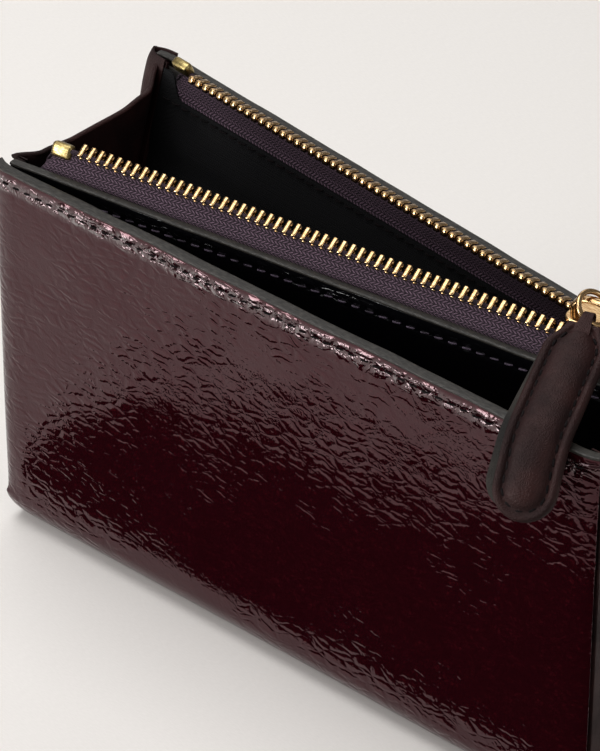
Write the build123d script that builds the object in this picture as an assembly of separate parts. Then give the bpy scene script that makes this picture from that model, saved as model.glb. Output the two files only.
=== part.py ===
"""Long zip-top wallet, standing open: three leather walls, two gussets, a metal zip and its pull.

Frame: +X along the wallet's length, +Y from the front wall to the back wall, +Z up.
The origin is the middle of the flat foot, between the two ends. Lengths are millimetres.

The walls are laid out closed and parallel to X, then opened: the divider turns about an upright
line at the left end, and the back turns about an upright line at the right end of the zip.
"""

import math
import os

from build123d import *

# Overall size of the closed wallet
LENGTH = 180.0
FRONT_HEIGHT = 105.0
BACK_HEIGHT = 108.0
FRONT_Y = -12.0
BASE_BACK_Y = 18.5
FRONT_ROLL_RADIUS = 9.0
BACK_ROLL_RADIUS = 5.0
FIXED_BACK_HEIGHT = 20.0

# How far it stands open
POCKET_ANGLE = 7.0
MOUTH_ANGLE = 14.2
DIVIDER_HINGE = (-88.0, -8.0)
ZIP_END_X = 88.0

# Sheet thicknesses
LEATHER = 1.4
BOARD = 1.0
LINING = 0.6
FABRIC = 0.5
DIVIDER_LEATHER = 1.2
DIVIDER_BOARD = 0.8
GUSSET_LEATHER = 1.0
PAINT = 0.4
POCKET_GAP = 0.8
GUSSET_BOTTOM_Z = 4.5
GUSSET_TOP_Z = 102.5
GUSSET_BOW = 5.5
CLEARANCE = 0.3

# Zip: the two rows meet on this plane when it is closed
ZIP_Y = -0.7
TOOTH_PITCH = 2.5
TOOTH_WIDTH = 1.1
TOOTH_DEPTH = 1.5
TOOTH_HEIGHT = 3.4
TOOTH_LEAN = 25.0
TOOTH_BASE_Z = 109.6
TOOTH_REACH = 1.7
FIRST_TOOTH_X = -69.0
LAST_TOOTH_X = 76.0
TAPE_END_X = 80.0
TAPE_BOTTOM_Z = 92.0
FRONT_TAPE_BEND_Z = 105.0
BACK_TAPE_BEND_Z = 104.0
STOP_LENGTH = 5.5
STOP_HEIGHT = 4.4
STOP_DEPTH = 2.6
BOTTOM_STOP_X = 81.0

# Slider, ring and leather pull
SLIDER_X = 66.5
SLIDER_OFFSET_Y = 3.1
SLIDER_LENGTH = 13.0
SLIDER_WIDTH = 8.8
SLIDER_PLATE = 1.0
SLIDER_TOP_Z = 113.3
SLIDER_BOTTOM_Z = 106.9
SLIDER_BOTTOM_WIDTH = 6.0
WEDGE_LENGTH = 4.0
WEDGE_WIDTH = 2.4
BRIDGE_RADIUS = 0.8
BRIDGE_HALF_SPAN = 4.9
BRIDGE_RISE = 4.8
RING_RADIUS = 4.0
RING_WIRE = 0.55
RING_GRIP = 2.2
RING_TILT = 37.0
PULL_YAW = 8.0
PULL_SLOPE = 16.2
PULL_DROOP = 36.0
PULL_STRAIGHT = 28.0
PULL_BEND_RADIUS = 11.0
PULL_TIP_LENGTH = 7.0
PULL_WIDTH = 16.0
PULL_NECK_WIDTH = 8.0
PULL_NECK_LENGTH = 7.0
PULL_LEATHER = 1.1
PULL_FILLER = 1.0
PULL_SEAM_INSET = 1.6
LOOP_LENGTH = 2.0
LOOP_RADIUS = 1.9
LOOP_WALL = 0.4

DIVIDER_FRONT_Y = FRONT_Y + LEATHER + BOARD + LINING + POCKET_GAP
DIVIDER_BACK_Y = DIVIDER_FRONT_Y + DIVIDER_LEATHER + DIVIDER_BOARD + LINING
BACK_TOP_Y = ZIP_Y + 6.7
HALF_LENGTH = LENGTH / 2
SLIDER_Y = ZIP_Y + SLIDER_OFFSET_Y
RING_FAR_END = 2 * RING_RADIUS - RING_GRIP


def block(x_range, y_range, z_range):
    """Return a box between three pairs of limits."""
    sizes = [high - low for low, high in (x_range, y_range, z_range)]
    middle = [(high + low) / 2 for low, high in (x_range, y_range, z_range)]
    return Pos(*middle) * Box(*sizes)


def turned(shape, centre, degrees):
    """Return the shape turned about an upright line through centre."""
    return Pos(*centre) * Rot(0, 0, degrees) * Pos(-centre[0], -centre[1]) * shape


def open_divider(shape):
    """Move a piece of the closed divider to where it stands open."""
    return turned(shape, DIVIDER_HINGE, POCKET_ANGLE)


def open_back(shape):
    """Move a piece of the closed back to where it stands open."""
    return open_divider(turned(shape, (ZIP_END_X, ZIP_Y), -MOUTH_ANGLE))


def opened_point(x, y, with_back=True):
    """Return where a plan point of the closed wallet goes when it opens."""
    mover = open_back if with_back else open_divider
    spot = mover(Pos(x, y, 0) * Sphere(1)).center()
    return spot.X, spot.Y


def back_closing_axis():
    """Return the plan point about which the open back turns to where it lies closed."""
    angle = math.radians(MOUTH_ANGLE - POCKET_ANGLE)
    end_x, end_y = opened_point(ZIP_END_X, ZIP_Y)
    step_x, step_y = ZIP_END_X - end_x, ZIP_Y - end_y
    lever = 1 / (2 * math.tan(angle / 2))
    middle_x, middle_y = (ZIP_END_X + end_x) / 2, (ZIP_Y + end_y) / 2
    return middle_x - step_y * lever, middle_y + step_x * lever


def line_through(first, second):
    """Return y as a function of x on the plan line through two points."""
    slope = (second[1] - first[1]) / (second[0] - first[0])
    return lambda x: first[1] + slope * (x - first[0])


back_top_line = line_through(
    opened_point(-HALF_LENGTH, BACK_TOP_Y), opened_point(HALF_LENGTH, BACK_TOP_Y)
)
back_teeth_line = line_through(
    opened_point(-HALF_LENGTH, ZIP_Y + TOOTH_REACH), opened_point(HALF_LENGTH, ZIP_Y + TOOTH_REACH)
)


def back_wall_y(x, z):
    """Return the outer face of the open back wall, which twists from the base to its top edge."""
    share = (z - FIXED_BACK_HEIGHT) / (BACK_HEIGHT - FIXED_BACK_HEIGHT)
    return BASE_BACK_Y + (back_top_line(x) - BASE_BACK_Y) * share


def ruled_strip(outline_at, x_range):
    """Return a solid ruled between the outlines, each a list of (y, z), at two x positions."""
    ends = []
    for x in x_range:
        corners = [(x, y, z) for y, z in outline_at(x)]
        ends.append(make_face(Polyline(*corners, close=True)))
    return loft(ends, ruled=True)


def back_layer(outer_depth, inner_depth, z_range, x_range):
    """Return one layer of the back wall between two depths behind its outer face."""

    def outline_at(x):
        low, high = (back_wall_y(x, z) for z in z_range)
        return [
            (low - outer_depth, z_range[0]),
            (high - outer_depth, z_range[1]),
            (high - inner_depth, z_range[1]),
            (low - inner_depth, z_range[0]),
        ]

    return ruled_strip(outline_at, x_range)


def cradle(inset):
    """Return the solid inside the wallet's outer skin when it is closed, shrunk by an inset."""
    depth = BASE_BACK_Y - FRONT_Y - 2 * inset
    middle_y = (BASE_BACK_Y + FRONT_Y) / 2
    height = FRONT_HEIGHT - inset
    profile = Plane.YZ * Pos(middle_y, inset + height / 2) * Rectangle(depth, height)
    bottom = profile.vertices().group_by(Axis.Z)[0].sort_by(Axis.Y)
    profile = fillet(bottom[0], FRONT_ROLL_RADIUS - inset)
    bottom = profile.vertices().group_by(Axis.Z)[0].sort_by(Axis.Y)
    profile = fillet(bottom[-1], BACK_ROLL_RADIUS - inset)
    return extrude(profile, amount=HALF_LENGTH, both=True)


def behind_front(z_low):
    """Return the space behind the front wall and above a height."""
    inner_y = FRONT_Y + LEATHER
    return block((-LENGTH, LENGTH), (inner_y, LENGTH), (z_low, 2 * LENGTH))


def make_outer_wrap():
    """Return the outer leather: front wall, rolled bottom and the foot of the back wall."""
    return cradle(0) - cradle(LEATHER) - behind_front(FIXED_BACK_HEIGHT)


def make_front_pieces():
    """Return the pieces that stay still: outer leather, boards, linings and edge paint."""
    ends = (-HALF_LENGTH, HALF_LENGTH)
    board_y = FRONT_Y + LEATHER
    lining_y = board_y + BOARD
    inner_y = lining_y + LINING
    wall_z = (FRONT_ROLL_RADIUS + LEATHER, FRONT_HEIGHT)
    base_y = (FRONT_Y + FRONT_ROLL_RADIUS, BASE_BACK_Y - BACK_ROLL_RADIUS)
    lining_z = LEATHER + BOARD
    return {
        "outer_wrap": make_outer_wrap(),
        "front_board": block((ends[0] + 2, ends[1] - 2), (board_y, lining_y), wall_z),
        "front_lining": block(ends, (lining_y, inner_y), wall_z),
        "front_edge_paint": block(ends, (FRONT_Y, inner_y), (FRONT_HEIGHT, FRONT_HEIGHT + PAINT)),
        "base_board": block((ends[0] + 2, ends[1] - 2), base_y, (LEATHER, lining_z)),
        "base_lining": block((ends[0] + 2, ends[1] - 2), base_y, (lining_z, lining_z + FABRIC)),
    }


def folded_sheet(low_line, high_line, thickness, z_range):
    """Return a folded sheet between two plan lines, each a list of (x, y)."""
    ends = []
    for line, z in ((low_line, z_range[0]), (high_line, z_range[1])):
        inner = [(x, y, z) for x, y in line]
        outer = [(x + thickness, y, z) for x, y in reversed(line)]
        ends.append(make_face(Polyline(*inner, *outer, close=True)))
    return loft(ends, ruled=True)


def gusset(low_line, high_line, thickness):
    """Return an end piece that is straight up to the fixed back height and spreads above it."""
    foot = folded_sheet(low_line, low_line, thickness, (GUSSET_BOTTOM_Z, FIXED_BACK_HEIGHT))
    return foot + folded_sheet(low_line, high_line, thickness, (FIXED_BACK_HEIGHT, GUSSET_TOP_Z))


def gusset_back_y(x, z):
    """Return where a gusset meets the inside of the back wall."""
    return back_wall_y(x, z) - LEATHER - DIVIDER_BOARD - LINING - CLEARANCE


def make_left_gusset():
    """Return the left end piece, bowed inward between the divider and the back wall."""
    x = -HALF_LENGTH + 0.5
    front_y = DIVIDER_BACK_Y + CLEARANCE
    back_low = gusset_back_y(x, FIXED_BACK_HEIGHT)
    back_high = gusset_back_y(x, GUSSET_TOP_Z)
    low = [(x, front_y), (x + 2, (front_y + back_low) / 2), (x, back_low)]
    high = [(x, front_y), (x + GUSSET_BOW, (front_y + back_high) / 2), (x, back_high)]
    return gusset(low, high, GUSSET_LEATHER)


def make_right_gusset():
    """Return the right end piece, with one fold on each side of the divider."""
    x = HALF_LENGTH - 0.5
    front_y = FRONT_Y + LEATHER + BOARD + LINING + CLEARANCE
    middle_y = opened_point(HALF_LENGTH - 4, (DIVIDER_FRONT_Y + DIVIDER_BACK_Y) / 2, False)[1]
    back_low = gusset_back_y(x, FIXED_BACK_HEIGHT)
    back_high = gusset_back_y(x, GUSSET_TOP_Z)
    folds = (front_y + middle_y) / 2, (middle_y + back_high) / 2
    low = [(x, front_y), (x - 2, 2), (x, 8), (x - 1, 12), (x, back_low)]
    high = [(x, front_y), (x - 2.5, folds[0]), (x, middle_y), (x - 1, folds[1]), (x, back_high)]
    return gusset(low, high, -GUSSET_LEATHER)


def leaning_tape(wall_y, bend_z, edge_y):
    """Return a closed zip tape: upright against its wall, then leaning in to the teeth."""
    outline = [
        (wall_y, TAPE_BOTTOM_Z),
        (wall_y, bend_z),
        (edge_y - FABRIC / 2, TOOTH_BASE_Z),
        (edge_y + FABRIC / 2, TOOTH_BASE_Z),
        (wall_y + FABRIC, bend_z),
        (wall_y + FABRIC, TAPE_BOTTOM_Z),
    ]
    return ruled_strip(lambda x: outline, (-TAPE_END_X, TAPE_END_X))


def tooth(x, side):
    """Return one closed tooth: side is -1 on the front row and 1 on the back row."""
    body = Pos(0, 0, TOOTH_HEIGHT / 2) * Box(TOOTH_WIDTH, TOOTH_DEPTH, TOOTH_HEIGHT)
    body = fillet(body.edges().filter_by(Axis.X).group_by(Axis.Z)[-1], TOOTH_DEPTH / 3)
    leaned = Rot(side * TOOTH_LEAN, 0, 0) * body
    lift = TOOTH_DEPTH / 2 * math.sin(math.radians(TOOTH_LEAN))
    return Pos(x, ZIP_Y + side * TOOTH_REACH, TOOTH_BASE_Z + lift) * leaned


def tooth_row(side, first_x):
    """Return a row of teeth as separate solids."""
    count = int((LAST_TOOTH_X - first_x) / TOOTH_PITCH) + 1
    return Compound(children=[tooth(first_x + TOOTH_PITCH * i, side) for i in range(count)])


def top_stop(side):
    """Return the block that ends a row of teeth on the left."""
    middle_x = FIRST_TOOTH_X - TOOTH_PITCH - STOP_LENGTH / 2
    middle_y = ZIP_Y + side * (TOOTH_REACH - 0.3)
    body = Box(STOP_LENGTH, STOP_DEPTH, STOP_HEIGHT)
    body = fillet(body.edges().filter_by(Axis.X), 0.4)
    return Pos(middle_x, middle_y, TOOTH_BASE_Z + STOP_HEIGHT / 2) * body


def make_divider_pieces():
    """Return the wall between the pocket and the zip compartment, with the front half of the zip."""
    ends = (-HALF_LENGTH + 3, HALF_LENGTH - 5)
    board_y = DIVIDER_FRONT_Y + DIVIDER_LEATHER
    lining_y = board_y + DIVIDER_BOARD
    wall_z = (LEATHER + BOARD + FABRIC + 2.5, FRONT_HEIGHT)
    paint_z = (FRONT_HEIGHT, FRONT_HEIGHT + PAINT)
    tape_y = DIVIDER_BACK_Y - FABRIC
    tape = leaning_tape(tape_y, FRONT_TAPE_BEND_Z, ZIP_Y - TOOTH_REACH)
    lining_z = (wall_z[0], TAPE_BOTTOM_Z)
    stop_y = (ZIP_Y + 0.2, ZIP_Y + 2 * SLIDER_OFFSET_Y - 2.6)
    stop_z = (TOOTH_BASE_Z + 0.1, TOOTH_BASE_Z + 3)
    closed = {
        "divider_panel": block(ends, (DIVIDER_FRONT_Y, board_y), wall_z),
        "divider_board": block((ends[0] + 2, ends[1] - 2), (board_y, lining_y), wall_z),
        "divider_lining": block(ends, (lining_y, DIVIDER_BACK_Y), lining_z),
        "divider_edge_paint": block(ends, (DIVIDER_FRONT_Y, lining_y), paint_z),
        "front_zip_tape": tape,
        "front_teeth": tooth_row(-1, FIRST_TOOTH_X),
        "front_top_stop": top_stop(-1),
        "bottom_stop": block((BOTTOM_STOP_X - 1.5, BOTTOM_STOP_X + 1.5), stop_y, stop_z),
    }
    return {name: open_divider(shape) for name, shape in closed.items()}


def make_back_tape():
    """Return the back zip tape: on the wall's inner face, then leaning forward to the teeth."""
    depth = LEATHER + DIVIDER_BOARD + LINING

    def outline_at(x):
        foot = back_wall_y(x, TAPE_BOTTOM_Z) - depth
        bend = back_wall_y(x, BACK_TAPE_BEND_Z) - depth
        edge = back_teeth_line(x)
        return [
            (foot, TAPE_BOTTOM_Z),
            (bend, BACK_TAPE_BEND_Z),
            (edge + FABRIC / 2, TOOTH_BASE_Z),
            (edge - FABRIC / 2, TOOTH_BASE_Z),
            (bend - FABRIC, BACK_TAPE_BEND_Z),
            (foot - FABRIC, TAPE_BOTTOM_Z),
        ]

    left = opened_point(-TAPE_END_X, ZIP_Y)[0]
    right = opened_point(TAPE_END_X, ZIP_Y)[0]
    return ruled_strip(outline_at, (left, right))


def make_back_pieces():
    """Return the back wall, which swings, and the back half of the zip."""
    ends = (-HALF_LENGTH, HALF_LENGTH)
    board_depth = LEATHER + DIVIDER_BOARD
    lining_depth = board_depth + LINING
    board_z = (88.0, 106.5)
    top_z = (BACK_HEIGHT, BACK_HEIGHT + PAINT)
    return {
        "back_panel": back_layer(0, LEATHER, (FIXED_BACK_HEIGHT, BACK_HEIGHT), ends),
        "back_edge_board": back_layer(LEATHER, board_depth, board_z, (ends[0] + 2, ends[1] - 2)),
        "back_lining": back_layer(board_depth, lining_depth, (24.0, 103.8), ends),
        "back_edge_paint": back_layer(0, LEATHER, top_z, ends),
        "back_zip_tape": make_back_tape(),
        "back_teeth": open_back(tooth_row(1, FIRST_TOOTH_X + TOOTH_PITCH / 2)),
        "back_top_stop": open_back(top_stop(1)),
    }


def make_slider():
    """Return the slider's two plates and wedge, as one casting."""
    top = Box(SLIDER_LENGTH, SLIDER_WIDTH, SLIDER_PLATE)
    top = fillet(top.edges().filter_by(Axis.Z), SLIDER_WIDTH / 4)
    bottom = Box(SLIDER_LENGTH, SLIDER_BOTTOM_WIDTH, SLIDER_PLATE)
    bottom = fillet(bottom.edges().filter_by(Axis.Z), SLIDER_BOTTOM_WIDTH / 4)
    wedge_z = (SLIDER_BOTTOM_Z, SLIDER_TOP_Z + SLIDER_PLATE)
    wedge_x = (-SLIDER_LENGTH / 2 + 0.5, -SLIDER_LENGTH / 2 + 0.5 + WEDGE_LENGTH)
    wedge = block(wedge_x, (-WEDGE_WIDTH / 2, WEDGE_WIDTH / 2), wedge_z)
    half_plate = SLIDER_PLATE / 2
    body = Pos(0, 0, SLIDER_TOP_Z + half_plate) * top + wedge
    body += Pos(0, 0, SLIDER_BOTTOM_Z + half_plate) * bottom
    return Pos(SLIDER_X, SLIDER_Y) * body


def bridge_height():
    """Return the height of the bridge beam's centre, which the ring swings about."""
    return SLIDER_TOP_Z + SLIDER_PLATE + BRIDGE_RISE - BRIDGE_RADIUS


def make_bridge():
    """Return the arch on top of the slider that holds the ring."""
    foot_z = SLIDER_TOP_Z + SLIDER_PLATE
    beam_z = bridge_height()
    beam = Rot(0, 90, 0) * Cylinder(BRIDGE_RADIUS, 2 * BRIDGE_HALF_SPAN)
    arch = Pos(0, 0, beam_z) * beam
    for end in (-1, 1):
        leg = Cylinder(BRIDGE_RADIUS, beam_z - foot_z)
        arch += Pos(end * BRIDGE_HALF_SPAN, 0, (beam_z + foot_z) / 2) * leg
        arch += Pos(end * BRIDGE_HALF_SPAN, 0, beam_z) * Sphere(BRIDGE_RADIUS)
    return Pos(SLIDER_X, SLIDER_Y) * arch


def swung(shape):
    """Swing the ring or the leather pull sideways about the upright line through the bridge."""
    return turned(shape, (SLIDER_X, SLIDER_Y), PULL_YAW)


def swung_point(x, y):
    """Return where a plan point of the ring or pull goes when it swings and the divider opens."""
    spot = open_divider(swung(Pos(x, y, 0) * Sphere(1))).center()
    return spot.X, spot.Y


def pull_direction():
    """Return the unit (y, z) direction in which the ring and the leather pull point."""
    slope = math.radians(PULL_SLOPE)
    return -math.cos(slope), -math.sin(slope)


def along_pull(distance):
    """Return the (y, z) at a distance from the bridge along the pull."""
    step_y, step_z = pull_direction()
    return SLIDER_Y + step_y * distance, bridge_height() + step_z * distance


def make_ring():
    """Return the round wire ring between the bridge and the leather pull."""
    centre_y, centre_z = along_pull(RING_RADIUS - RING_GRIP)
    ring = Rot(PULL_SLOPE, 0, 0) * Rot(0, RING_TILT, 0) * Torus(RING_RADIUS, RING_WIRE)
    return Pos(SLIDER_X, centre_y, centre_z) * ring


def pull_band(low, high):
    """Return the bent sheet between two heights from the pull's centre line, wider than the pull."""
    radii = PULL_BEND_RADIUS + low, PULL_BEND_RADIUS + high
    droop = math.radians(PULL_DROOP)
    reach = PULL_TIP_LENGTH + PULL_WIDTH / 2
    corners = []
    for radius in radii:
        bend_end = (-PULL_STRAIGHT - radius * math.sin(droop), radius * math.cos(droop))
        tip = (bend_end[0] - reach * math.cos(droop), bend_end[1] - reach * math.sin(droop))
        corners.append(((0, radius), (-PULL_STRAIGHT, radius), bend_end, tip))
    edges = []
    for (start, bend_start, bend_end, tip), radius in zip(corners, radii):
        middle = (-PULL_STRAIGHT - radius * math.sin(droop / 2), radius * math.cos(droop / 2))
        edges.append(Line(start, bend_start))
        edges.append(ThreePointArc(bend_start, middle, bend_end))
        edges.append(Line(bend_end, tip))
    edges.append(Line(corners[0][0], corners[1][0]))
    edges.append(Line(corners[0][3], corners[1][3]))
    profile = Plane.YZ * Pos(0, -PULL_BEND_RADIUS) * make_face(Wire([e.edge() for e in edges]))
    return extrude(profile, amount=PULL_WIDTH, both=True)


def neck_prism(inset):
    """Return the upright prism that tapers the pull's top end to its neck."""
    half = PULL_WIDTH / 2 - inset
    neck = PULL_NECK_WIDTH / 2 - inset
    far = -3 * PULL_STRAIGHT
    outline = Polyline((-half, far), (-half, -PULL_NECK_LENGTH), (-neck, -inset), (neck, -inset),
                       (half, -PULL_NECK_LENGTH), (half, far), close=True)
    return extrude(make_face(outline), amount=3 * PULL_STRAIGHT, both=True)


def tip_prism(inset):
    """Return the prism, square to the drooping end, that rounds the pull's tip."""
    half = PULL_WIDTH / 2 - inset
    droop = math.radians(PULL_DROOP)
    bend_y = -PULL_STRAIGHT - PULL_BEND_RADIUS * math.sin(droop)
    bend_z = PULL_BEND_RADIUS * (math.cos(droop) - 1)
    body = Pos(0, PULL_STRAIGHT) * Rectangle(2 * half, 2 * (PULL_STRAIGHT + PULL_TIP_LENGTH))
    outline = body + Pos(0, -PULL_TIP_LENGTH) * Circle(half)
    prism = extrude(outline, amount=3 * PULL_STRAIGHT, both=True)
    return Pos(0, bend_y, bend_z) * Rot(PULL_DROOP, 0, 0) * prism


def pull_layer(low, high, inset):
    """Return one layer of the leather pull, placed on its slope beyond the ring."""
    layer = pull_band(low, high) & neck_prism(inset) & tip_prism(inset)
    start_y, start_z = along_pull(RING_FAR_END + LOOP_RADIUS)
    return Pos(SLIDER_X, start_y, start_z) * Rot(PULL_SLOPE, 0, 0) * layer


def make_pull_loop():
    """Return the leather loop that ties the pull's neck to the far side of the ring."""
    tube = Cylinder(LOOP_RADIUS, LOOP_LENGTH) - Cylinder(LOOP_RADIUS - LOOP_WALL, LOOP_LENGTH)
    return Pos(SLIDER_X, *along_pull(RING_FAR_END)) * Rot(0, 90, 0) * tube


def make_pull_pieces():
    """Return the leather pull: a padded filler inside a welt, between two leathers."""
    half = PULL_FILLER / 2
    filler = pull_layer(-half, half, PULL_SEAM_INSET)
    return {
        "pull_loop": make_pull_loop(),
        "pull_top_leather": pull_layer(half, half + PULL_LEATHER, 0),
        "pull_filler": filler,
        "pull_edge_welt": pull_layer(-half, half, 0) - filler,
        "pull_bottom_leather": pull_layer(-half - PULL_LEATHER, -half, 0),
    }


def make_zip_pull():
    """Return the slider, its bridge, the ring and the leather pull where they stand open."""
    hanging = {"pull_ring": make_ring(), **make_pull_pieces()}
    pieces = {"slider_body": make_slider(), "slider_bridge": make_bridge()}
    pieces.update({name: swung(shape) for name, shape in hanging.items()})
    return {name: open_divider(shape) for name, shape in pieces.items()}


def make_wallet():
    """Return every node of the wallet by name."""
    nodes = make_front_pieces()
    nodes["left_gusset"] = make_left_gusset()
    nodes["right_gusset"] = make_right_gusset()
    nodes.update(make_divider_pieces())
    nodes.update(make_back_pieces())
    nodes.update(make_zip_pull())
    return nodes


os.makedirs("parts", exist_ok=True)
for node_name, node_shape in make_wallet().items():
    export_step(node_shape, f"parts/{node_name}.step")

for label, point in (
    ("divider hinge", DIVIDER_HINGE),
    ("back hinge", back_closing_axis()),
    ("ring swing", (*opened_point(SLIDER_X, SLIDER_Y, False), bridge_height())),
    (
        "pull swing",
        (
            *swung_point(SLIDER_X, along_pull(RING_FAR_END)[0]),
            along_pull(RING_FAR_END)[1],
        ),
    ),
):
    print(label, [round(value, 3) for value in point])
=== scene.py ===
"""Looks of a long zip-top wallet that stands open: patent leather walls, gussets, zip and pull."""

import logging
import math
from dataclasses import dataclass
from enum import Enum
from functools import partial
from typing import Callable, Sequence

import bpy
from mathutils import Matrix, Vector


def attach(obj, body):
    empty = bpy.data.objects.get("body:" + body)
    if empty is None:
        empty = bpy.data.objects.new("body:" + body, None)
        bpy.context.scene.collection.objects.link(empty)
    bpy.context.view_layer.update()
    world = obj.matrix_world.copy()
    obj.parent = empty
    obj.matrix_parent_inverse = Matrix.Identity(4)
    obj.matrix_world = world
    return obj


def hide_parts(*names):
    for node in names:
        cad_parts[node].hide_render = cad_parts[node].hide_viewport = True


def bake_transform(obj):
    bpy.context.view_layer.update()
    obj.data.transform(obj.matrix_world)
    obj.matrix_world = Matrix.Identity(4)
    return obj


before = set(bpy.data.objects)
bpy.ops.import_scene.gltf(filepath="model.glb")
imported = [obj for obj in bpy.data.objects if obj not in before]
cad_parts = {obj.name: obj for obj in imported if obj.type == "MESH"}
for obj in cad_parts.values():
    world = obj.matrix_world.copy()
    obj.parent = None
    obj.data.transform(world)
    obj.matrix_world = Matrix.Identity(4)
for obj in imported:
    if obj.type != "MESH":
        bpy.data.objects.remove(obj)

log = logging.getLogger("wallet")
MM = 0.001
Point = tuple[float, float, float]
Pair = tuple[float, float]
Piece = bpy.types.Object
Socket = bpy.types.NodeSocket
Node = bpy.types.Node
Placer = Callable[[float, float], Point]


class Body(Enum):
    """The moving bodies of the wallet."""

    FRONT = "front"
    DIVIDER = "divider"
    BACK = "back"
    SLIDER = "slider"
    RING = "ring"
    PULL = "pull"


class Slot(Enum):
    """The finish each piece takes."""

    PATENT = "patent_leather"
    DIVIDER = "divider_leather"
    BROWN = "brown_leather"
    PAINT = "edge_paint"
    BOARD = "stiffener_board"
    LINING = "lining_fabric"
    TAPE = "zip_tape"
    GOLD = "gold_metal"
    BRASS = "stop_brass"


# ---------------------------------------------------------------- plan of the open wallet


def turn(point: Point, centre: Pair, degrees: float) -> Point:
    """Turn a point about an upright line through centre."""
    angle = math.radians(degrees)
    dx, dy = point[0] - centre[0], point[1] - centre[1]
    x = centre[0] + dx * math.cos(angle) - dy * math.sin(angle)
    y = centre[1] + dx * math.sin(angle) + dy * math.cos(angle)
    return x, y, point[2]


def open_divider(point: Point) -> Point:
    """Move a point of the closed divider to where it stands open."""
    return turn(point, (-88.0, -8.0), 7.0)


def open_back(point: Point) -> Point:
    """Move a point of the closed back to where it stands open."""
    return open_divider(turn(point, (88.0, -0.7), -14.2))


def smooth(value: float) -> float:
    """Return a soft step from 0 to 1."""
    value = min(max(value, 0.0), 1.0)
    return value * value * (3 - 2 * value)


def wander(x: float, z: float, seed: float) -> float:
    """Return a slow hand-made waviness between about -1 and 1."""
    first = math.sin(x / 11.3 + z / 23.0 + seed)
    second = math.sin(x / 5.1 - z / 9.7 + 2.3 * seed)
    return 0.6 * first + 0.4 * second


@dataclass(frozen=True)
class Plan:
    """Sizes that several sub-assemblies share, in millimetres."""

    half_length: float = 90.0
    front_y: float = -12.0
    back_top: float = 108.0
    base_back_y: float = 18.5
    fixed_back: float = 20.0
    zip_y: float = -0.7

    def line(self, y: float) -> Callable[[float], float]:
        """Return the open plan line of a closed line at y, as y against x."""
        left = open_back((-self.half_length, y, 0))
        right = open_back((self.half_length, y, 0))
        slope = (right[1] - left[1]) / (right[0] - left[0])
        return lambda x: left[1] + slope * (x - left[0])

    def end_roll(self, x: float, depth: float = 2.0) -> float:
        """Return how far a wall's face rolls in near its ends."""
        share = min(max((abs(x) - 83.0) / 7.2, 0.0), 0.98)
        return depth * (1 - math.sqrt(1 - share * share))

    def front_face(self, x: float, z: float) -> float:
        """Return the outer face of the front wall, with its stitch channel and the puckers by it."""
        groove = 0.34 * math.exp(-(((z - 101.9) / 0.75) ** 2))
        crest = 0.5 * smooth((z - 101.9) / 3.1)
        slack = 0.22 * wander(x, z, 0.4) * smooth((z - 9) / 20)
        near = math.exp(-(((z - 100.6) / 1.5) ** 2))
        pucker = near * (0.1 * math.sin(x * 1.745) + 0.1 * wander(x * 4.3, z * 7, 2.0))
        return self.front_y + groove + crest + slack + pucker + self.end_roll(x)

    def back_face(self, x: float, z: float) -> float:
        """Return the outer face of the open back wall, which twists from foot to top."""
        share = (z - self.fixed_back) / (self.back_top - self.fixed_back)
        top = self.line(self.zip_y + 6.7)(x)
        return self.base_back_y + (top - self.base_back_y) * share


PLAN = Plan()


# ---------------------------------------------------------------- modelling


def clear() -> None:
    """Leave edit mode and deselect everything."""
    active = bpy.context.view_layer.objects.active
    if active and active.mode != "OBJECT":
        bpy.ops.object.mode_set(mode="OBJECT")
    bpy.ops.object.select_all(action="DESELECT")


def only(piece: Piece) -> None:
    """Select one piece and make it active."""
    clear()
    piece.select_set(True)
    bpy.context.view_layer.objects.active = piece


def modify(piece: Piece, kind: str, **settings: object) -> None:
    """Add a modifier with its settings and apply it.

    Args:
        piece: The mesh to change.
        kind: Blender's name of the modifier type.
        settings: The modifier's own settings.
    """
    only(piece)
    modifier = piece.modifiers.new(kind.title(), kind)
    for key, value in settings.items():
        setattr(modifier, key, value)
    bpy.ops.object.modifier_apply(modifier=modifier.name)


def tidy_mesh(piece: Piece, outward: bool = True) -> None:
    """Merge doubled points and turn the faces outward."""
    only(piece)
    bpy.ops.object.mode_set(mode="EDIT")
    bpy.ops.mesh.select_all(action="SELECT")
    bpy.ops.mesh.remove_doubles(threshold=0.00001)
    if outward:
        bpy.ops.mesh.normals_make_consistent(inside=False)
    bpy.ops.object.mode_set(mode="OBJECT")


def soften(piece: Piece, degrees: float = 35.0) -> None:
    """Shade a piece smooth except over sharp edges."""
    only(piece)
    bpy.ops.object.shade_smooth_by_angle(angle=math.radians(degrees))


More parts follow.
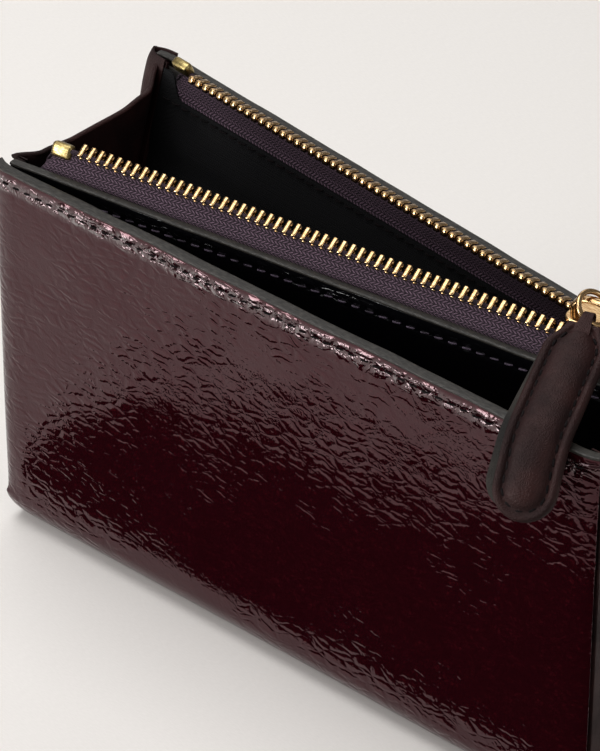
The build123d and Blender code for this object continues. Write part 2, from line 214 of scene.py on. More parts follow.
def lay_sheet(
    name: str,
    size: Pair,
    grid: tuple[int, int],
    place: Placer,
    thickness: float,
    rounded: float = 0.0,
    level: int = 1,
) -> Piece:
    """Lay a flat cut of leather or cloth into place and give it its thickness.

    Args:
        name: The piece's name.
        size: The flat cut's width and length, in millimetres.
        grid: How many cells it has along each.
        place: Gives the place, in millimetres, of each (u, v) from 0 to 1.
        thickness: How thick it is; it grows behind the laid face.
        rounded: How far its cut edges are rounded.
        level: How often its grid is subdivided.

    Returns:
        The finished mesh.
    """
    clear()
    bpy.ops.mesh.primitive_grid_add(x_subdivisions=grid[0], y_subdivisions=grid[1], size=1)
    piece = bpy.context.object
    piece.name = piece.data.name = name
    for vertex in piece.data.vertices:
        u, v = vertex.co.x + 0.5, vertex.co.y + 0.5
        vertex.co = Vector(place(u, v)) * MM
    for loop in piece.data.uv_layers.active.data:
        loop.uv = (loop.uv[0] * size[0] * MM, loop.uv[1] * size[1] * MM)
    tidy_mesh(piece, outward=False)
    if level:
        modify(piece, "SUBSURF", levels=level, render_levels=level, boundary_smooth="PRESERVE_CORNERS")
    modify(piece, "SOLIDIFY", thickness=thickness * MM, offset=-1, use_even_offset=True)
    if rounded:
        modify(piece, "BEVEL", width=rounded * MM, segments=2, limit_method="ANGLE", angle_limit=1.0)
    soften(piece)
    return piece


def shape_bar(name: str, sides: int, rings: int, place: Placer) -> Piece:
    """Draw out a bar, thread or bead from a round blank.

    Args:
        name: The piece's name.
        sides: How many sides the blank has.
        rings: How many cuts there are along it.
        place: Gives the place of (turn round the bar, share along it), both 0 to 1.

    Returns:
        The finished mesh.
    """
    clear()
    bpy.ops.mesh.primitive_cylinder_add(vertices=sides, radius=1, depth=1, end_fill_type="NGON")
    piece = bpy.context.object
    piece.name = piece.data.name = name
    bpy.ops.object.mode_set(mode="EDIT")
    bpy.ops.mesh.select_all(action="DESELECT")
    bpy.ops.object.mode_set(mode="OBJECT")
    mesh = piece.data
    for edge in mesh.edges:
        first, second = (mesh.vertices[i].co for i in edge.vertices)
        edge.select = abs(first.z - second.z) > 0.5
    bpy.ops.object.mode_set(mode="EDIT")
    bpy.ops.mesh.select_mode(type="EDGE")
    bpy.ops.mesh.subdivide(number_cuts=rings)
    bpy.ops.object.mode_set(mode="OBJECT")
    for vertex in mesh.vertices:
        round_it = math.atan2(vertex.co.y, vertex.co.x) / math.tau % 1.0
        vertex.co = Vector(place(round_it, min(max(vertex.co.z + 0.5, 0.0), 1.0))) * MM
    tidy_mesh(piece)
    soften(piece, 50)
    return piece


def block(name: str, size: Point, centre: Point, bevel: float, segments: int = 2) -> Piece:
    """Cut a block with rounded edges, as a start for a metal piece."""
    clear()
    bpy.ops.mesh.primitive_cube_add(size=1)
    piece = bpy.context.object
    piece.name = piece.data.name = name
    bpy.ops.object.mode_set(mode="EDIT")
    bpy.ops.transform.resize(value=[side * MM for side in size])
    bpy.ops.transform.translate(value=[c * MM for c in centre])
    bpy.ops.object.mode_set(mode="OBJECT")
    if bevel:
        modify(piece, "BEVEL", width=bevel * MM, segments=segments, limit_method="ANGLE")
    return piece


def join(name: str, pieces: Sequence[Piece]) -> Piece:
    """Join several meshes into one piece."""
    clear()
    for piece in pieces:
        piece.select_set(True)
    bpy.context.view_layer.objects.active = pieces[0]
    bpy.ops.object.join()
    pieces[0].name = pieces[0].data.name = name
    return pieces[0]


def repeat(name: str, master: Piece, places: Sequence[Matrix]) -> Piece:
    """Copy a master once for each place and join the copies.

    Args:
        name: The joined piece's name.
        master: The piece modelled once at the origin.
        places: Where each copy goes.

    Returns:
        The joined copies.
    """
    copies = []
    for place in places:
        copy = master.copy()
        copy.data = master.data.copy()
        copy.data.transform(place)
        bpy.context.collection.objects.link(copy)
        copies.append(copy)
    return join(name, copies)


def discard(piece: Piece) -> None:
    """Remove a master that has been copied."""
    bpy.data.objects.remove(piece, do_unlink=True)


def pose_at(point: Point, along: Vector, outward: Vector) -> Matrix:
    """Return the place of something at a point, with its x along and its z outward."""
    x_axis = along.normalized()
    y_axis = outward.cross(x_axis).normalized()
    z_axis = x_axis.cross(y_axis)
    turned = Matrix((x_axis, y_axis, z_axis)).transposed().to_4x4()
    return Matrix.Translation(Vector(point) * MM) @ turned


def make_stitch(length: float, radius: float, lift: float) -> Piece:
    """Model one stitch: a short thread that dives into the leather at both ends."""

    def place(round_it: float, share: float) -> Point:
        across = 2 * share - 1
        thin = radius * (1 - 0.35 * across**6)
        height = lift * (1 - across**4) - 0.9 * radius * across**6
        angle = round_it * math.tau
        y = thin * math.cos(angle) * 1.1 + 0.12 * length * across * 0.5
        return across * length / 2, y, height + thin * math.sin(angle)

    return shape_bar("stitch_master", 7, 5, place)


def sew(
    name: str,
    stitch: Piece,
    path: Callable[[float], Point],
    outward: Callable[[float], Vector],
    span: Pair,
    pitch: float,
) -> Piece:
    """Sew a row of stitches along a path.

    Args:
        name: The row's name.
        stitch: The stitch to copy.
        path: Gives the point on the leather at each distance, in millimetres.
        outward: Gives the direction out of the leather there.
        span: The first and last distance.
        pitch: From one stitch to the next.

    Returns:
        The row as one piece.
    """
    count = int((span[1] - span[0]) / pitch)
    places = []
    for index in range(count + 1):
        at = span[0] + (span[1] - span[0]) * (index + 0.5) / (count + 1)
        along = Vector(path(at + 0.3)) - Vector(path(at - 0.3))
        places.append(pose_at(path(at), along, outward(at)))
    return repeat(name, stitch, places)


# ---------------------------------------------------------------- finishes


class Graph:
    """Builds the nodes of one material or node group."""

    def __init__(self, tree: bpy.types.NodeTree) -> None:
        """Keep the tree that the nodes go into."""
        self.tree = tree

    def node(self, kind: str, **settings: object) -> Node:
        """Add a node with its settings."""
        made = self.tree.nodes.new(kind)
        for key, value in settings.items():
            setattr(made, key, value)
        return made

    def feed(self, socket: Socket, value: object) -> None:
        """Link a socket to another one, or set its value."""
        if isinstance(value, Socket):
            self.tree.links.new(value, socket)
        else:
            socket.default_value = value

    def math(self, operation: str, *values: object) -> Socket:
        """Work out one number from others."""
        made = self.node("ShaderNodeMath", operation=operation)
        for socket, value in zip(made.inputs, values):
            self.feed(socket, value)
        return made.outputs[0]

    def vector(self, operation: str, first: object, second: object) -> Socket:
        """Work out one vector from two, or from a vector and a scale."""
        made = self.node("ShaderNodeVectorMath", operation=operation)
        self.feed(made.inputs[0], first)
        self.feed(made.inputs["Scale" if operation == "SCALE" else 1], second)
        return made.outputs[0]

    def noise(self, place: object, scale: float, detail: float = 2.0) -> Node:
        """Add smooth noise at a scale per metre."""
        made = self.node("ShaderNodeTexNoise")
        self.feed(made.inputs["Vector"], place)
        made.inputs["Scale"].default_value = scale
        made.inputs["Detail"].default_value = detail
        return made

    def cells(self, place: object, scale: object, feature: str) -> Socket:
        """Add the distance field of irregular cells."""
        made = self.node("ShaderNodeTexVoronoi", feature=feature)
        self.feed(made.inputs["Vector"], place)
        self.feed(made.inputs["Scale"], scale)
        return made.outputs["Distance"]

    def span(self, value: object, low: object, high: object, to: Pair = (0, 1)) -> Socket:
        """Ease a value from one span to another."""
        made = self.node("ShaderNodeMapRange", interpolation_type="SMOOTHSTEP")
        for socket, number in zip(made.inputs, (value, low, high, *to)):
            self.feed(socket, number)
        return made.outputs[0]

    def blend(self, factor: object, first: object, second: object) -> Socket:
        """Mix two colours."""
        made = self.node("ShaderNodeMix", data_type="RGBA")
        for index, value in ((0, factor), (6, first), (7, second)):
            self.feed(made.inputs[index], value)
        return made.outputs[2]


def new_group(name: str, values: dict[str, float], results: Sequence[str]) -> tuple[Graph, Node, Node]:
    """Start a shader node group.

    Args:
        name: The group's name.
        values: Its number inputs and their usual values, after its Vector.
        results: The names of the numbers it gives out.

    Returns:
        The graph, the group's input node and its output node.
    """
    tree = bpy.data.node_groups.new(name, "ShaderNodeTree")
    tree.interface.new_socket("Vector", in_out="INPUT", socket_type="NodeSocketVector")
    for key, value in values.items():
        socket = tree.interface.new_socket(key, in_out="INPUT", socket_type="NodeSocketFloat")
        socket.default_value = value
    for key in results:
        tree.interface.new_socket(key, in_out="OUTPUT", socket_type="NodeSocketFloat")
    graph = Graph(tree)
    return graph, graph.node("NodeGroupInput"), graph.node("NodeGroupOutput")


def crinkle_group() -> bpy.types.NodeTree:
    """Build crinkled patent leather: long creases, short wrinkles and a slow swell; its second result darkens
    the creases as painted shade.
    """
    values = {"Cells": 340.0, "Swell": 9.0, "Pucker": 0.0}
    graph, given, out = new_group("crinkle", values, ["Height", "CreaseShade", "Band"])
    place = given.outputs["Vector"]
    drift = graph.vector("SUBTRACT", graph.noise(place, 120, 3).outputs["Color"], (0.5, 0.5, 0.5))
    warped = graph.vector("ADD", place, graph.vector("SCALE", drift, 0.005))
    squeezed = graph.vector("MULTIPLY", warped, (0.55, 1.0, 1.2))
    coarse = graph.span(graph.cells(squeezed, given.outputs["Cells"], "DISTANCE_TO_EDGE"), 0.0, 0.30)
    finer = graph.math("MULTIPLY", given.outputs["Cells"], 2.7)
    fine = graph.span(graph.cells(warped, finer, "DISTANCE_TO_EDGE"), 0.0, 0.45)
    pebble = graph.noise(place, 900, 2).outputs["Fac"]
    fade = graph.span(graph.noise(place, 34, 2).outputs["Fac"], 0.35, 0.62)
    swell = graph.noise(graph.vector("MULTIPLY", place, (0.7, 1, 1.3)), 42, 1).outputs["Fac"]
    height = graph.math("MULTIPLY", coarse, graph.span(fade, 0, 1, (0.15, 1.0)))
    height = graph.math("MULTIPLY_ADD", fine, 0.16, height)
    height = graph.math("MULTIPLY_ADD", pebble, 0.05, height)
    parts = graph.node("ShaderNodeSeparateXYZ")
    graph.feed(parts.inputs[0], place)
    above = graph.span(parts.outputs["Z"], 0.0992, 0.1012)
    seam = graph.math("MULTIPLY", above, graph.span(parts.outputs["Z"], 0.1046, 0.1028))
    graph.feed(out.inputs["Band"], seam)
    seam = graph.math("MULTIPLY_ADD", seam, given.outputs["Pucker"], 1.0)
    height = graph.math("MULTIPLY", height, seam)
    swell = graph.math("MULTIPLY", swell, given.outputs["Swell"])
    graph.feed(out.inputs["Height"], graph.math("ADD", swell, height))
    # Painted shade: this colour mask is low along the creases, so the base colour is darker there.
    graph.feed(out.inputs["CreaseShade"], graph.math("MULTIPLY", coarse, fine))
    return graph.tree


def grain_group() -> bpy.types.NodeTree:
    """Build natural leather grain: small pebbles between fine pores, with cloudy tone."""
    graph, given, out = new_group("grain", {"Pebbles": 1500.0}, ["Height", "Tone"])
    place = given.outputs["Vector"]
    drift = graph.vector("SUBTRACT", graph.noise(place, 500, 2).outputs["Color"], (0.5, 0.5, 0.5))
    warped = graph.vector("ADD", place, graph.vector("SCALE", drift, 0.0012))
    pebble = graph.cells(warped, given.outputs["Pebbles"], "DISTANCE_TO_EDGE")
    folds = graph.noise(graph.vector("MULTIPLY", place, (1, 1, 0.4)), 260, 3).outputs["Fac"]
    height = graph.math("MULTIPLY_ADD", folds, 1.3, graph.span(pebble, 0, 0.35))
    cloud = graph.noise(place, 90, 4).outputs["Fac"]
    graph.feed(out.inputs["Height"], height)
    graph.feed(out.inputs["Tone"], graph.span(cloud, 0.3, 0.72))
    return graph.tree


def weave_group() -> bpy.types.NodeTree:
    """Build woven threads: twill ribs that fold back into a herringbone; its colour mask is painted shade
    between the threads and painted highlight on their crests, with a random fleck.
    """
    values = {"Thread": 0.0007, "Fold": 0.0014, "Slant": 1.0}
    graph, given, out = new_group("weave", values, ["Height", "FleckAndShade"])
    parts = graph.node("ShaderNodeSeparateXYZ")
    graph.feed(parts.inputs[0], given.outputs["Vector"])
    across = graph.math("PINGPONG", parts.outputs["Y"], given.outputs["Fold"])
    run = graph.math("MULTIPLY_ADD", across, given.outputs["Slant"], parts.outputs["X"])
    phase = graph.math("DIVIDE", run, given.outputs["Thread"])
    wave = graph.math("ABSOLUTE", graph.math("SINE", graph.math("MULTIPLY", phase, math.pi)))
    rib = graph.span(wave, 0.25, 0.85)
    length = graph.math("DIVIDE", parts.outputs["Y"], given.outputs["Fold"])
    seam = graph.math("ABSOLUTE", graph.math("SINE", graph.math("MULTIPLY", length, math.pi)))
    fuzz = graph.noise(given.outputs["Vector"], 5200, 2).outputs["Fac"]
    height = graph.math("MULTIPLY", rib, graph.span(seam, 0.0, 0.6, (0.15, 1.0)))
    graph.feed(out.inputs["Height"], graph.math("MULTIPLY_ADD", fuzz, 0.35, height))
    fleck = graph.span(fuzz, 0.38, 0.62, (0.25, 1.0))
    # Painted shade and highlight: the colour mask is the rib height, dark between threads and light on their
    # crests, times a random fleck of real thread tone.
    graph.feed(out.inputs["FleckAndShade"], graph.math("MULTIPLY", height, fleck))
    return graph.tree


def wear_group() -> bpy.types.NodeTree:
    """Build uneven wear: cloudy tone and fine scratches."""
    graph, given, out = new_group("wear", {"Scale": 300.0}, ["Tone", "Scratch"])
    place = given.outputs["Vector"]
    cloud = graph.noise(place, 300.0)
    graph.feed(cloud.inputs["Scale"], given.outputs["Scale"])
    scratch = graph.noise(graph.vector("MULTIPLY", place, (0.15, 1, 1)), 4200, 2).outputs["Fac"]
    graph.feed(out.inputs["Tone"], graph.span(cloud.outputs["Fac"], 0.32, 0.7))
    graph.feed(out.inputs["Scratch"], graph.span(scratch, 0.35, 0.7))
    return graph.tree


Colour = tuple[float, float, float, float]


def tone(code: str) -> Colour:
    """Turn a six-digit screen colour into a linear one."""
    channels = [int(code[i : i + 2], 16) / 255 for i in (0, 2, 4)]
    linear = [c / 12.92 if c <= 0.04045 else ((c + 0.055) / 1.055) ** 2.4 for c in channels]
    return (*linear, 1.0)


@dataclass(frozen=True)
class Finish:
    """A finish made of two tones and a relief from one pattern group.

    Attributes:
        name: The material's name.
        pattern: Which pattern group it uses.
        dark: Its tone where the pattern's colour mask is low; in crinkle and weave this is painted shade in
            the creases and between the threads, in grain and wear it is random cloudy tone and streaks.
        light: Its tone where the mask is high; on woven threads it is partly painted highlight on their
            crests.
        rough: Roughness in the hollows and on the heights.
        relief: The depth of its relief, in millimetres.
        values: The pattern's own numbers.
        from_uv: Whether the pattern follows the flat cut.
        metallic: How metallic it is.
        gloss: How strongly its surface reflects; 0.5 is usual.
        coat: How much clear coat lies on the pattern's band, its third result.
        tint: The colour of its reflections.
    """

    name: str
    pattern: str
    dark: str
    light: str
    rough: Pair
    relief: float
    values: tuple[tuple[str, float], ...] = ()
    from_uv: bool = False
    metallic: float = 0.0
    gloss: float = 0.5
    coat: float = 0.0
    tint: tuple[float, float, float] = (1.0, 1.0, 1.0)

    def make(self) -> bpy.types.Material:
        """Build the material."""
        material = bpy.data.materials.new(self.name)
        material.use_nodes = True
        graph = Graph(material.node_tree)
        shader = material.node_tree.nodes["Principled BSDF"]
        where = graph.node("ShaderNodeTexCoord").outputs["UV" if self.from_uv else "Object"]
        group = graph.node("ShaderNodeGroup", node_tree=bpy.data.node_groups[self.pattern])
        graph.feed(group.inputs["Vector"], where)
        for key, value in self.values:
            group.inputs[key].default_value = value
        height, tone_and_shade_mask = group.outputs[0], group.outputs[1]
        # The colour mask darkens crinkle creases and the gaps between woven threads as painted shade; for
        # grain and wear it is random tone.
        graph.feed(shader.inputs["Base Color"], graph.blend(tone_and_shade_mask, tone(self.dark), tone(self.light)))
        graph.feed(shader.inputs["Roughness"], graph.span(tone_and_shade_mask, 0.0, 1.0, self.rough))
        bump = graph.node("ShaderNodeBump")
        bump.inputs["Distance"].default_value = self.relief * MM
        graph.feed(bump.inputs["Height"], height)
        graph.feed(shader.inputs["Normal"], bump.outputs[0])
        if self.coat:
            coated = graph.math("MULTIPLY", group.outputs[2], self.coat)
            graph.feed(shader.inputs["Coat Weight"], coated)
            graph.feed(shader.inputs["Coat Normal"], bump.outputs[0])
        shader.inputs["Metallic"].default_value = self.metallic
        shader.inputs["Specular IOR Level"].default_value = self.gloss
        shader.inputs["Specular Tint"].default_value = (*self.tint, 1.0)
        return material


FINISHES = {
    # Its dark tone is painted shade in the creases; its light tone is the leather's colour between them.
    Slot.PATENT: Finish(
        name="patent_burgundy",
        pattern="crinkle",
        dark="1d0307",
        light="2d070c",
        rough=(0.05, 0.03),
        relief=0.08,
        values=(("Pucker", 5.0),),
        gloss=0.5,
        coat=1.0,
        tint=(1.0, 0.5, 0.56),
    ),
    # Its darker tone is painted shade in the creases.
    Slot.DIVIDER: Finish(
        name="divider_black",
        pattern="crinkle",
        dark="040406",
        light="09080c",
        rough=(0.24, 0.17),
        relief=0.05,
        values=(("Cells", 500.0), ("Swell", 5.0), ("Pucker", 2.5)),
        gloss=0.45,
    ),
    Slot.BROWN: Finish(
        name="brown_calf",
        pattern="grain",
        dark="140809",
        light="2b1615",
        rough=(0.62, 0.5),
        relief=0.06,
        gloss=0.22,
        tint=(1.0, 0.78, 0.76),
    ),
    Slot.PAINT: Finish(
        name="edge_paint",
        pattern="wear",
        dark="1a1815",
        light="312d28",
        rough=(0.55, 0.4),
        relief=0.05,
        values=(("Scale", 420.0),),
        gloss=0.35,
    ),
    Slot.BOARD: Finish(
        name="stiffener",
        pattern="grain",
        dark="232120",
        light="37332f",
        rough=(0.9, 0.8),
        relief=0.05,
        gloss=0.2,
    ),
    # Its dark tone is painted shade between the threads and its light tone partly painted highlight on their
    # crests.
    Slot.LINING: Finish(
        name="lining_weave",
        pattern="weave",
        dark="030304",
        light="0e0d10",
        rough=(0.85, 0.7),
        relief=0.08,
        values=(("Thread", 0.0006), ("Fold", 0.0006), ("Slant", 0.7)),
        from_uv=True,
        gloss=0.2,
    ),
    # Painted highlight and shade: the pale light tone lies on the thread crests and the dark tone between the
    # ribs, on a tape dyed one colour.
    Slot.TAPE: Finish(
        name="zip_tape",
        pattern="weave",
        dark="140a14",
        light="6c5464",
        rough=(0.85, 0.6),
        relief=0.22,
        values=(("Thread", 0.0011), ("Fold", 0.0013)),
        from_uv=True,
        gloss=0.3,
    ),
    Slot.GOLD: Finish(
        name="pale_gold",
        pattern="wear",
        dark="aa865c",
        light="d6b688",
        rough=(0.2, 0.13),
        relief=0.01,
        values=(("Scale", 700.0),),
        metallic=1.0,
    ),
    Slot.BRASS: Finish(
        name="stop_brass",
        pattern="wear",
        dark="87744a",
        light="b09f6c",
        rough=(0.36, 0.26),
        relief=0.02,
        values=(("Scale", 500.0),),
        metallic=1.0,
    ),
}
SPUN = (("Thread", 0.0003), ("Fold", 0.002))
# Both threads take the weave's mask; the pale light tone of the first is painted glint on the stitch crests
# over a dark thread, and the second's light tone is a faint painted highlight.
PAINTED_GLINT_THREAD = Finish("thread", "weave", "171019", "85758a", (0.45, 0.32), 0.03, SPUN)
DARK_THREAD = Finish("dark_thread", "weave", "040303", "1a1012", (0.8, 0.6), 0.03, SPUN, gloss=0.12)
DARK_SEWN = (Slot.BROWN, Slot.PATENT, Slot.LINING)


class Wardrobe:
    """Holds every finish and dresses the pieces in them."""

    def __init__(self) -> None:
        """Build the pattern groups and the materials."""
        for build in (crinkle_group, grain_group, weave_group, wear_group):
            build()
        self.materials = {slot: finish.make() for slot, finish in FINISHES.items()}
        thread, dark_thread = PAINTED_GLINT_THREAD.make(), DARK_THREAD.make()
        self.threads = {slot: dark_thread if slot in DARK_SEWN else thread for slot in Slot}

    def dress(self, piece: Piece, slot: Slot, body: Body | None, *nodes: str, thread: bool = False) -> None:
        """Give a piece its finish, its body and the nodes that it stands for.

        Args:
            piece: The piece to dress.
            slot: Its finish.
            body: The body that it rides on, or None for a piece that bends between two.
            nodes: The plain solids that it replaces.
            thread: Whether it is sewing thread of that slot's colour family.
        """
        piece.data.materials.clear()
        piece.data.materials.append((self.threads if thread else self.materials)[slot])
        if body:
            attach(piece, body.value)
        if nodes:
            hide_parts(*nodes)
        log.info("%s: %d faces", piece.name, len(piece.data.polygons))

    def dress_sheet(
        self, piece: Piece, flat: Pair, held: str, slot: Slot, body: Body | None, *nodes: str, **facts: object
    ) -> None:
        """Dress a sheet.

        Args:
            piece: The sheet.
            flat: The cut's width and length, in millimetres; not used.
            held: How it is held; not used.
            slot: Its finish.
            body: The body that it rides on, or None if it bends between two.
            nodes: The plain solids that it replaces.
            facts: What else is given about the sheet; not used.
        """
        self.dress(piece, slot, body, *nodes)

    def dress_seam(
        self,
        name: str,
        stitch: Point,
        path: Callable[[float], Point],
        outward: Callable[[float], Vector],
        span: Pair,
        pitch: float,
        slot: Slot,
        body: Body,
    ) -> None:
        """Sew a row of stitches and dress it.

        Args:
            name: The row's name.
            stitch: One stitch's length, radius and lift.
            path: Gives the point on the leather at each distance.
            outward: Gives the direction out of the leather there.
            span: The first and last distance.
            pitch: From one stitch to the next.
            slot: The finish of the leather it is sewn in.
            body: The body that it rides on.
        """
        master = make_stitch(*stitch)
        row = sew(name, master, path, outward, span, pitch)
        discard(master)
        self.dress(row, slot, body, thread=True)

    def dress_node(self, node: str, slot: Slot) -> None:
        """Give a kept solid its finish."""
        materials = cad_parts[node].data.materials
        if not len(materials):
            materials.append(self.materials[slot])
        for index in range(len(materials)):
            materials[index] = self.materials[slot]


# ---------------------------------------------------------------- sub-assemblies


def bead(
    name: str, centre: Callable[[float], Point], ends: Pair, half: Pair, seed: float
) -> Piece:
    """Model a painted edge: a soft, slightly uneven bead along a wall's top.

    Args:
        name: The piece's name.
        centre: Gives the middle of the bead at each distance along the wall.
        ends: Where it starts and stops.
        half: Its half thickness and half height.
        seed: Sets its own unevenness.

    Returns:
        The bead.
    """

    def place(round_it: float, share: float) -> Point:
        at = ends[0] + (ends[1] - ends[0]) * share
        x, y, z = centre(at)
        uneven = 1 + 0.07 * wander(at * 2.1, 0, seed)
        cosine, sine = math.cos(round_it * math.tau), math.sin(round_it * math.tau)
        dy = half[0] * uneven * math.copysign(abs(cosine) ** 0.55, cosine)
        dz = half[1] * math.copysign(abs(sine) ** 0.6, sine)
        return x, y + dy, z + dz + 0.07 * wander(at * 1.4, 0, seed + 2)

    return shape_bar(name, 20, 110, place)


@dataclass
class FrontShell:
    """The wallet's still shell: front wall, rolled bottom, foot of the back wall, and linings."""

    wardrobe: Wardrobe
    leather: float = 1.4
    front_roll: float = 9.0
    back_roll: float = 5.0
    stitch_z: float = 101.9
    stitch_pitch: float = 3.6

    def profile(self) -> list[Pair]:
        """Return the shell's section from the back's foot, under the base, to the front's top."""
        back, front = self.back_roll, self.front_roll
        points = [(PLAN.base_back_y, z) for z in (20.0, 15.0, 10.0, back)]
        for step in range(1, 9):
            angle = math.radians(90 * step / 8)
            y = PLAN.base_back_y - back + back * math.cos(angle)
            points.append((y, back - back * math.sin(angle)))
        points += [(10.0, 0.0), (6.0, 0.0), (2.0, 0.0)]
        for step in range(13):
            angle = math.radians(90 * step / 12)
            y = PLAN.front_y + front - front * math.sin(angle)
            points.append((y, front - front * math.cos(angle)))
        heights = [13, 18, 24, 31, 38, 45, 52, 59, 66, 73, 80, 86, 91, 95, 97.5, 99.3]
        heights += [100.4, 101.1, 101.5, 101.9, 102.3, 102.7, 103.4, 104.2, 104.9]
        return points + [(PLAN.front_y, z) for z in heights]

    def make_skin(self) -> Piece:
        """Lay the outer leather round the shell."""
        section = self.profile()
        rows = len(section) - 1

        def place(u: float, v: float) -> Point:
            x = -90 + 180 * u
            y, z = section[round(v * rows)]
            roll = PLAN.end_roll(x)
            if z >= 9 and y < -11.9:
                return x, PLAN.front_face(x, z), z
            inward = Vector((0, 3.25 - y, 40 - z)).normalized() * roll * 0.8
            sag = 0.12 * wander(x, y, 1.3) if z < 0.01 else 0.0
            return x, y + inward.y, max(z + inward.z, 0.0) + max(sag, 0.0)

        return lay_sheet("outer_skin", (180, 148.6), (140, rows), place, self.leather, 0.25)

    def make_linings(self) -> None:
        """Line the inside of the front wall and the base."""

        def wall(u: float, v: float) -> Point:
            x, z = -85.5 + 171 * u, 104.5 - 94 * v
            return x, -9.0 + 0.1 * wander(x, z, 2.2), z

        lining = lay_sheet("front_lining_leather", (171, 94), (70, 34), wall, 0.55)
        self.wardrobe.dress_sheet(
            lining, (171, 94), "stretched", Slot.BROWN, Body.FRONT, "front_lining", rests_on=["front_board"]
        )

        def floor(u: float, v: float) -> Point:
            x, y = -87.5 + 175 * u, -3 + 16.5 * v
            return x, y, 2.95 + 0.1 * wander(x, y * 4, 0.9)

        base = lay_sheet("base_lining_cloth", (175, 16.5), (60, 8), floor, 0.5)
        self.wardrobe.dress_sheet(
            base, (175, 16.5), "laid", Slot.LINING, Body.FRONT, "base_lining", rests_on=["base_board"]
        )

    def build(self) -> None:
        """Build and dress the whole shell."""
        skin = self.make_skin()
        boards = ["front_board", "base_board"]
        self.wardrobe.dress_sheet(
            skin, (180, 148.6), "stretched", Slot.PATENT, Body.FRONT, "outer_wrap", rests_on=boards
        )
        paint = bead(
            "front_edge_bead",
            lambda x: (x, -10.25 + PLAN.end_roll(x) + 0.2 * wander(x, 104, 0.4), 104.98),
            (-89.8, 89.8),
            (1.36, 0.5),
            0.7,
        )
        self.wardrobe.dress(paint, Slot.PAINT, Body.FRONT, "front_edge_paint")
        self.wardrobe.dress_seam(
            "front_stitches",
            (2.5, 0.2, 0.16),
            lambda x: (x, PLAN.front_face(x, self.stitch_z) + 0.02, self.stitch_z),
            lambda x: Vector((0, -1, 0)),
            (-87.0, 87.0),
            self.stitch_pitch,
            Slot.PATENT,
            Body.FRONT,
        )
        self.make_linings()
        for node in boards:
            self.wardrobe.dress_node(node, Slot.BOARD)


@dataclass
class Gusset:
    """One end piece: a bowed or folded leather sheet with a turned top edge."""

    wardrobe: Wardrobe
    side: int
    front_y: float
    folds: tuple[tuple[float, float], ...]
    node: str
    top: float = 104.6
    hem: float = 0.62

    def back_y(self, z: float) -> float:
        """Return where the gusset meets the inside of the back wall."""
        x = self.side * 89.5
        return PLAN.back_face(x, max(z, 20.0)) - 2.6

    def bow(self, share: float, z: float) -> float:
        """Return how far in the sheet stands, at a share of its depth from front to back."""
        spread = smooth((z - 6) / 94)
        depth = 0.0
        for (start, low), (end, high) in zip(self.folds, self.folds[1:]):
            if start <= share <= end:
                depth = low + (high - low) * smooth((share - start) / (end - start))
        return depth * (0.25 + 0.75 * spread)

    def spot(self, share: float, z: float) -> Point:
        """Return the sheet's place at a share of its depth and a height; its flanges lie past 0 and 1."""
        y0, y1 = self.front_y, self.back_y(z)
        x = self.side * 89.5
        if share < 0 or share > 1:
            beyond = -share if share < 0 else share - 1
            edge = y0 + 0.35 if share < 0 else y1 - 0.35
            return x - self.side * (0.6 + beyond * 30), edge, z
        y = y0 + (y1 - y0) * share
        return x - self.side * self.bow(share, z), y, z

    def rise(self, share: float) -> float:
        """Return how far the top edge climbs towards the back wall's corner."""
        return 3.0 * smooth((share - 0.82) / 0.26)

    def floor_z(self, share: float) -> float:
        """Return how low the sheet reaches inside the rolled bottom."""
        y = self.front_y + (15.4 - self.front_y) * min(max(share, 0), 1)
        if y < -3:
            return 9 - math.sqrt(max(7.3**2 - (y + 3) ** 2, 0))
        if y > 13.5:
            return 5 - math.sqrt(max(3.4**2 - (y - 13.5) ** 2, 0))
        return 1.75

    def build(self) -> Piece:
        """Build the sheet and its turned hem."""
        columns = [-0.12, -0.06] + [i / 36 for i in range(37)] + [1.06, 1.12]
        rows = 40
        count = len(columns) - 1

        def place(u: float, v: float) -> Point:
            share = columns[round((1 - u if self.side < 0 else u) * count)]
            low = self.floor_z(share)
            return self.spot(share, low + (self.top + self.rise(share) - low) * v)

        name = f"{self.node}_leather"
        sheet = lay_sheet(name, (50, 101), (count, rows), place, 0.95, 0.2)

        def edge(round_it: float, along: float) -> Point:
            share = -0.12 + 1.24 * along
            x, y, z = self.spot(share, self.top + self.rise(share))
            angle = round_it * math.tau
            return (
                x - self.side * 0.45 + 0.8 * math.cos(angle),
                y,
                z - 0.15 + self.hem * math.sin(angle) + 0.05 * wander(y * 3, 0, 1.0),
            )

        hem = shape_bar(f"{self.node}_hem", 12, 70, edge)
        for piece, nodes in ((sheet, (self.node,)), (hem, ())):
            self.wardrobe.dress(piece, Slot.BROWN, None, *nodes)
        start, end = self.bend_line()
        for piece in (sheet, hem):
            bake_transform(piece)
        return sheet

    def bend_line(self) -> tuple[Point, Point]:
        """Return the two ends of the slanted line along which the sheet follows the back wall."""
        low_y, high_y = self.back_y(20.0), self.back_y(self.top)
        rise = self.top - 20.0
        slope = (high_y - low_y) / rise
        # along = a (y - low_y) + b (z - 20): 1 at the top rear, 0 at the top front
        a = 1.0 / (rise * slope + low_y - self.front_y)
        b = 1.0 / rise - a * slope
        reach = a * a + b * b
        x = self.side * 0.0895
        start = (x, low_y * MM, 20 * MM)
        end = (x, (low_y + a / reach) * MM, (20 + b / reach) * MM)
        return start, end


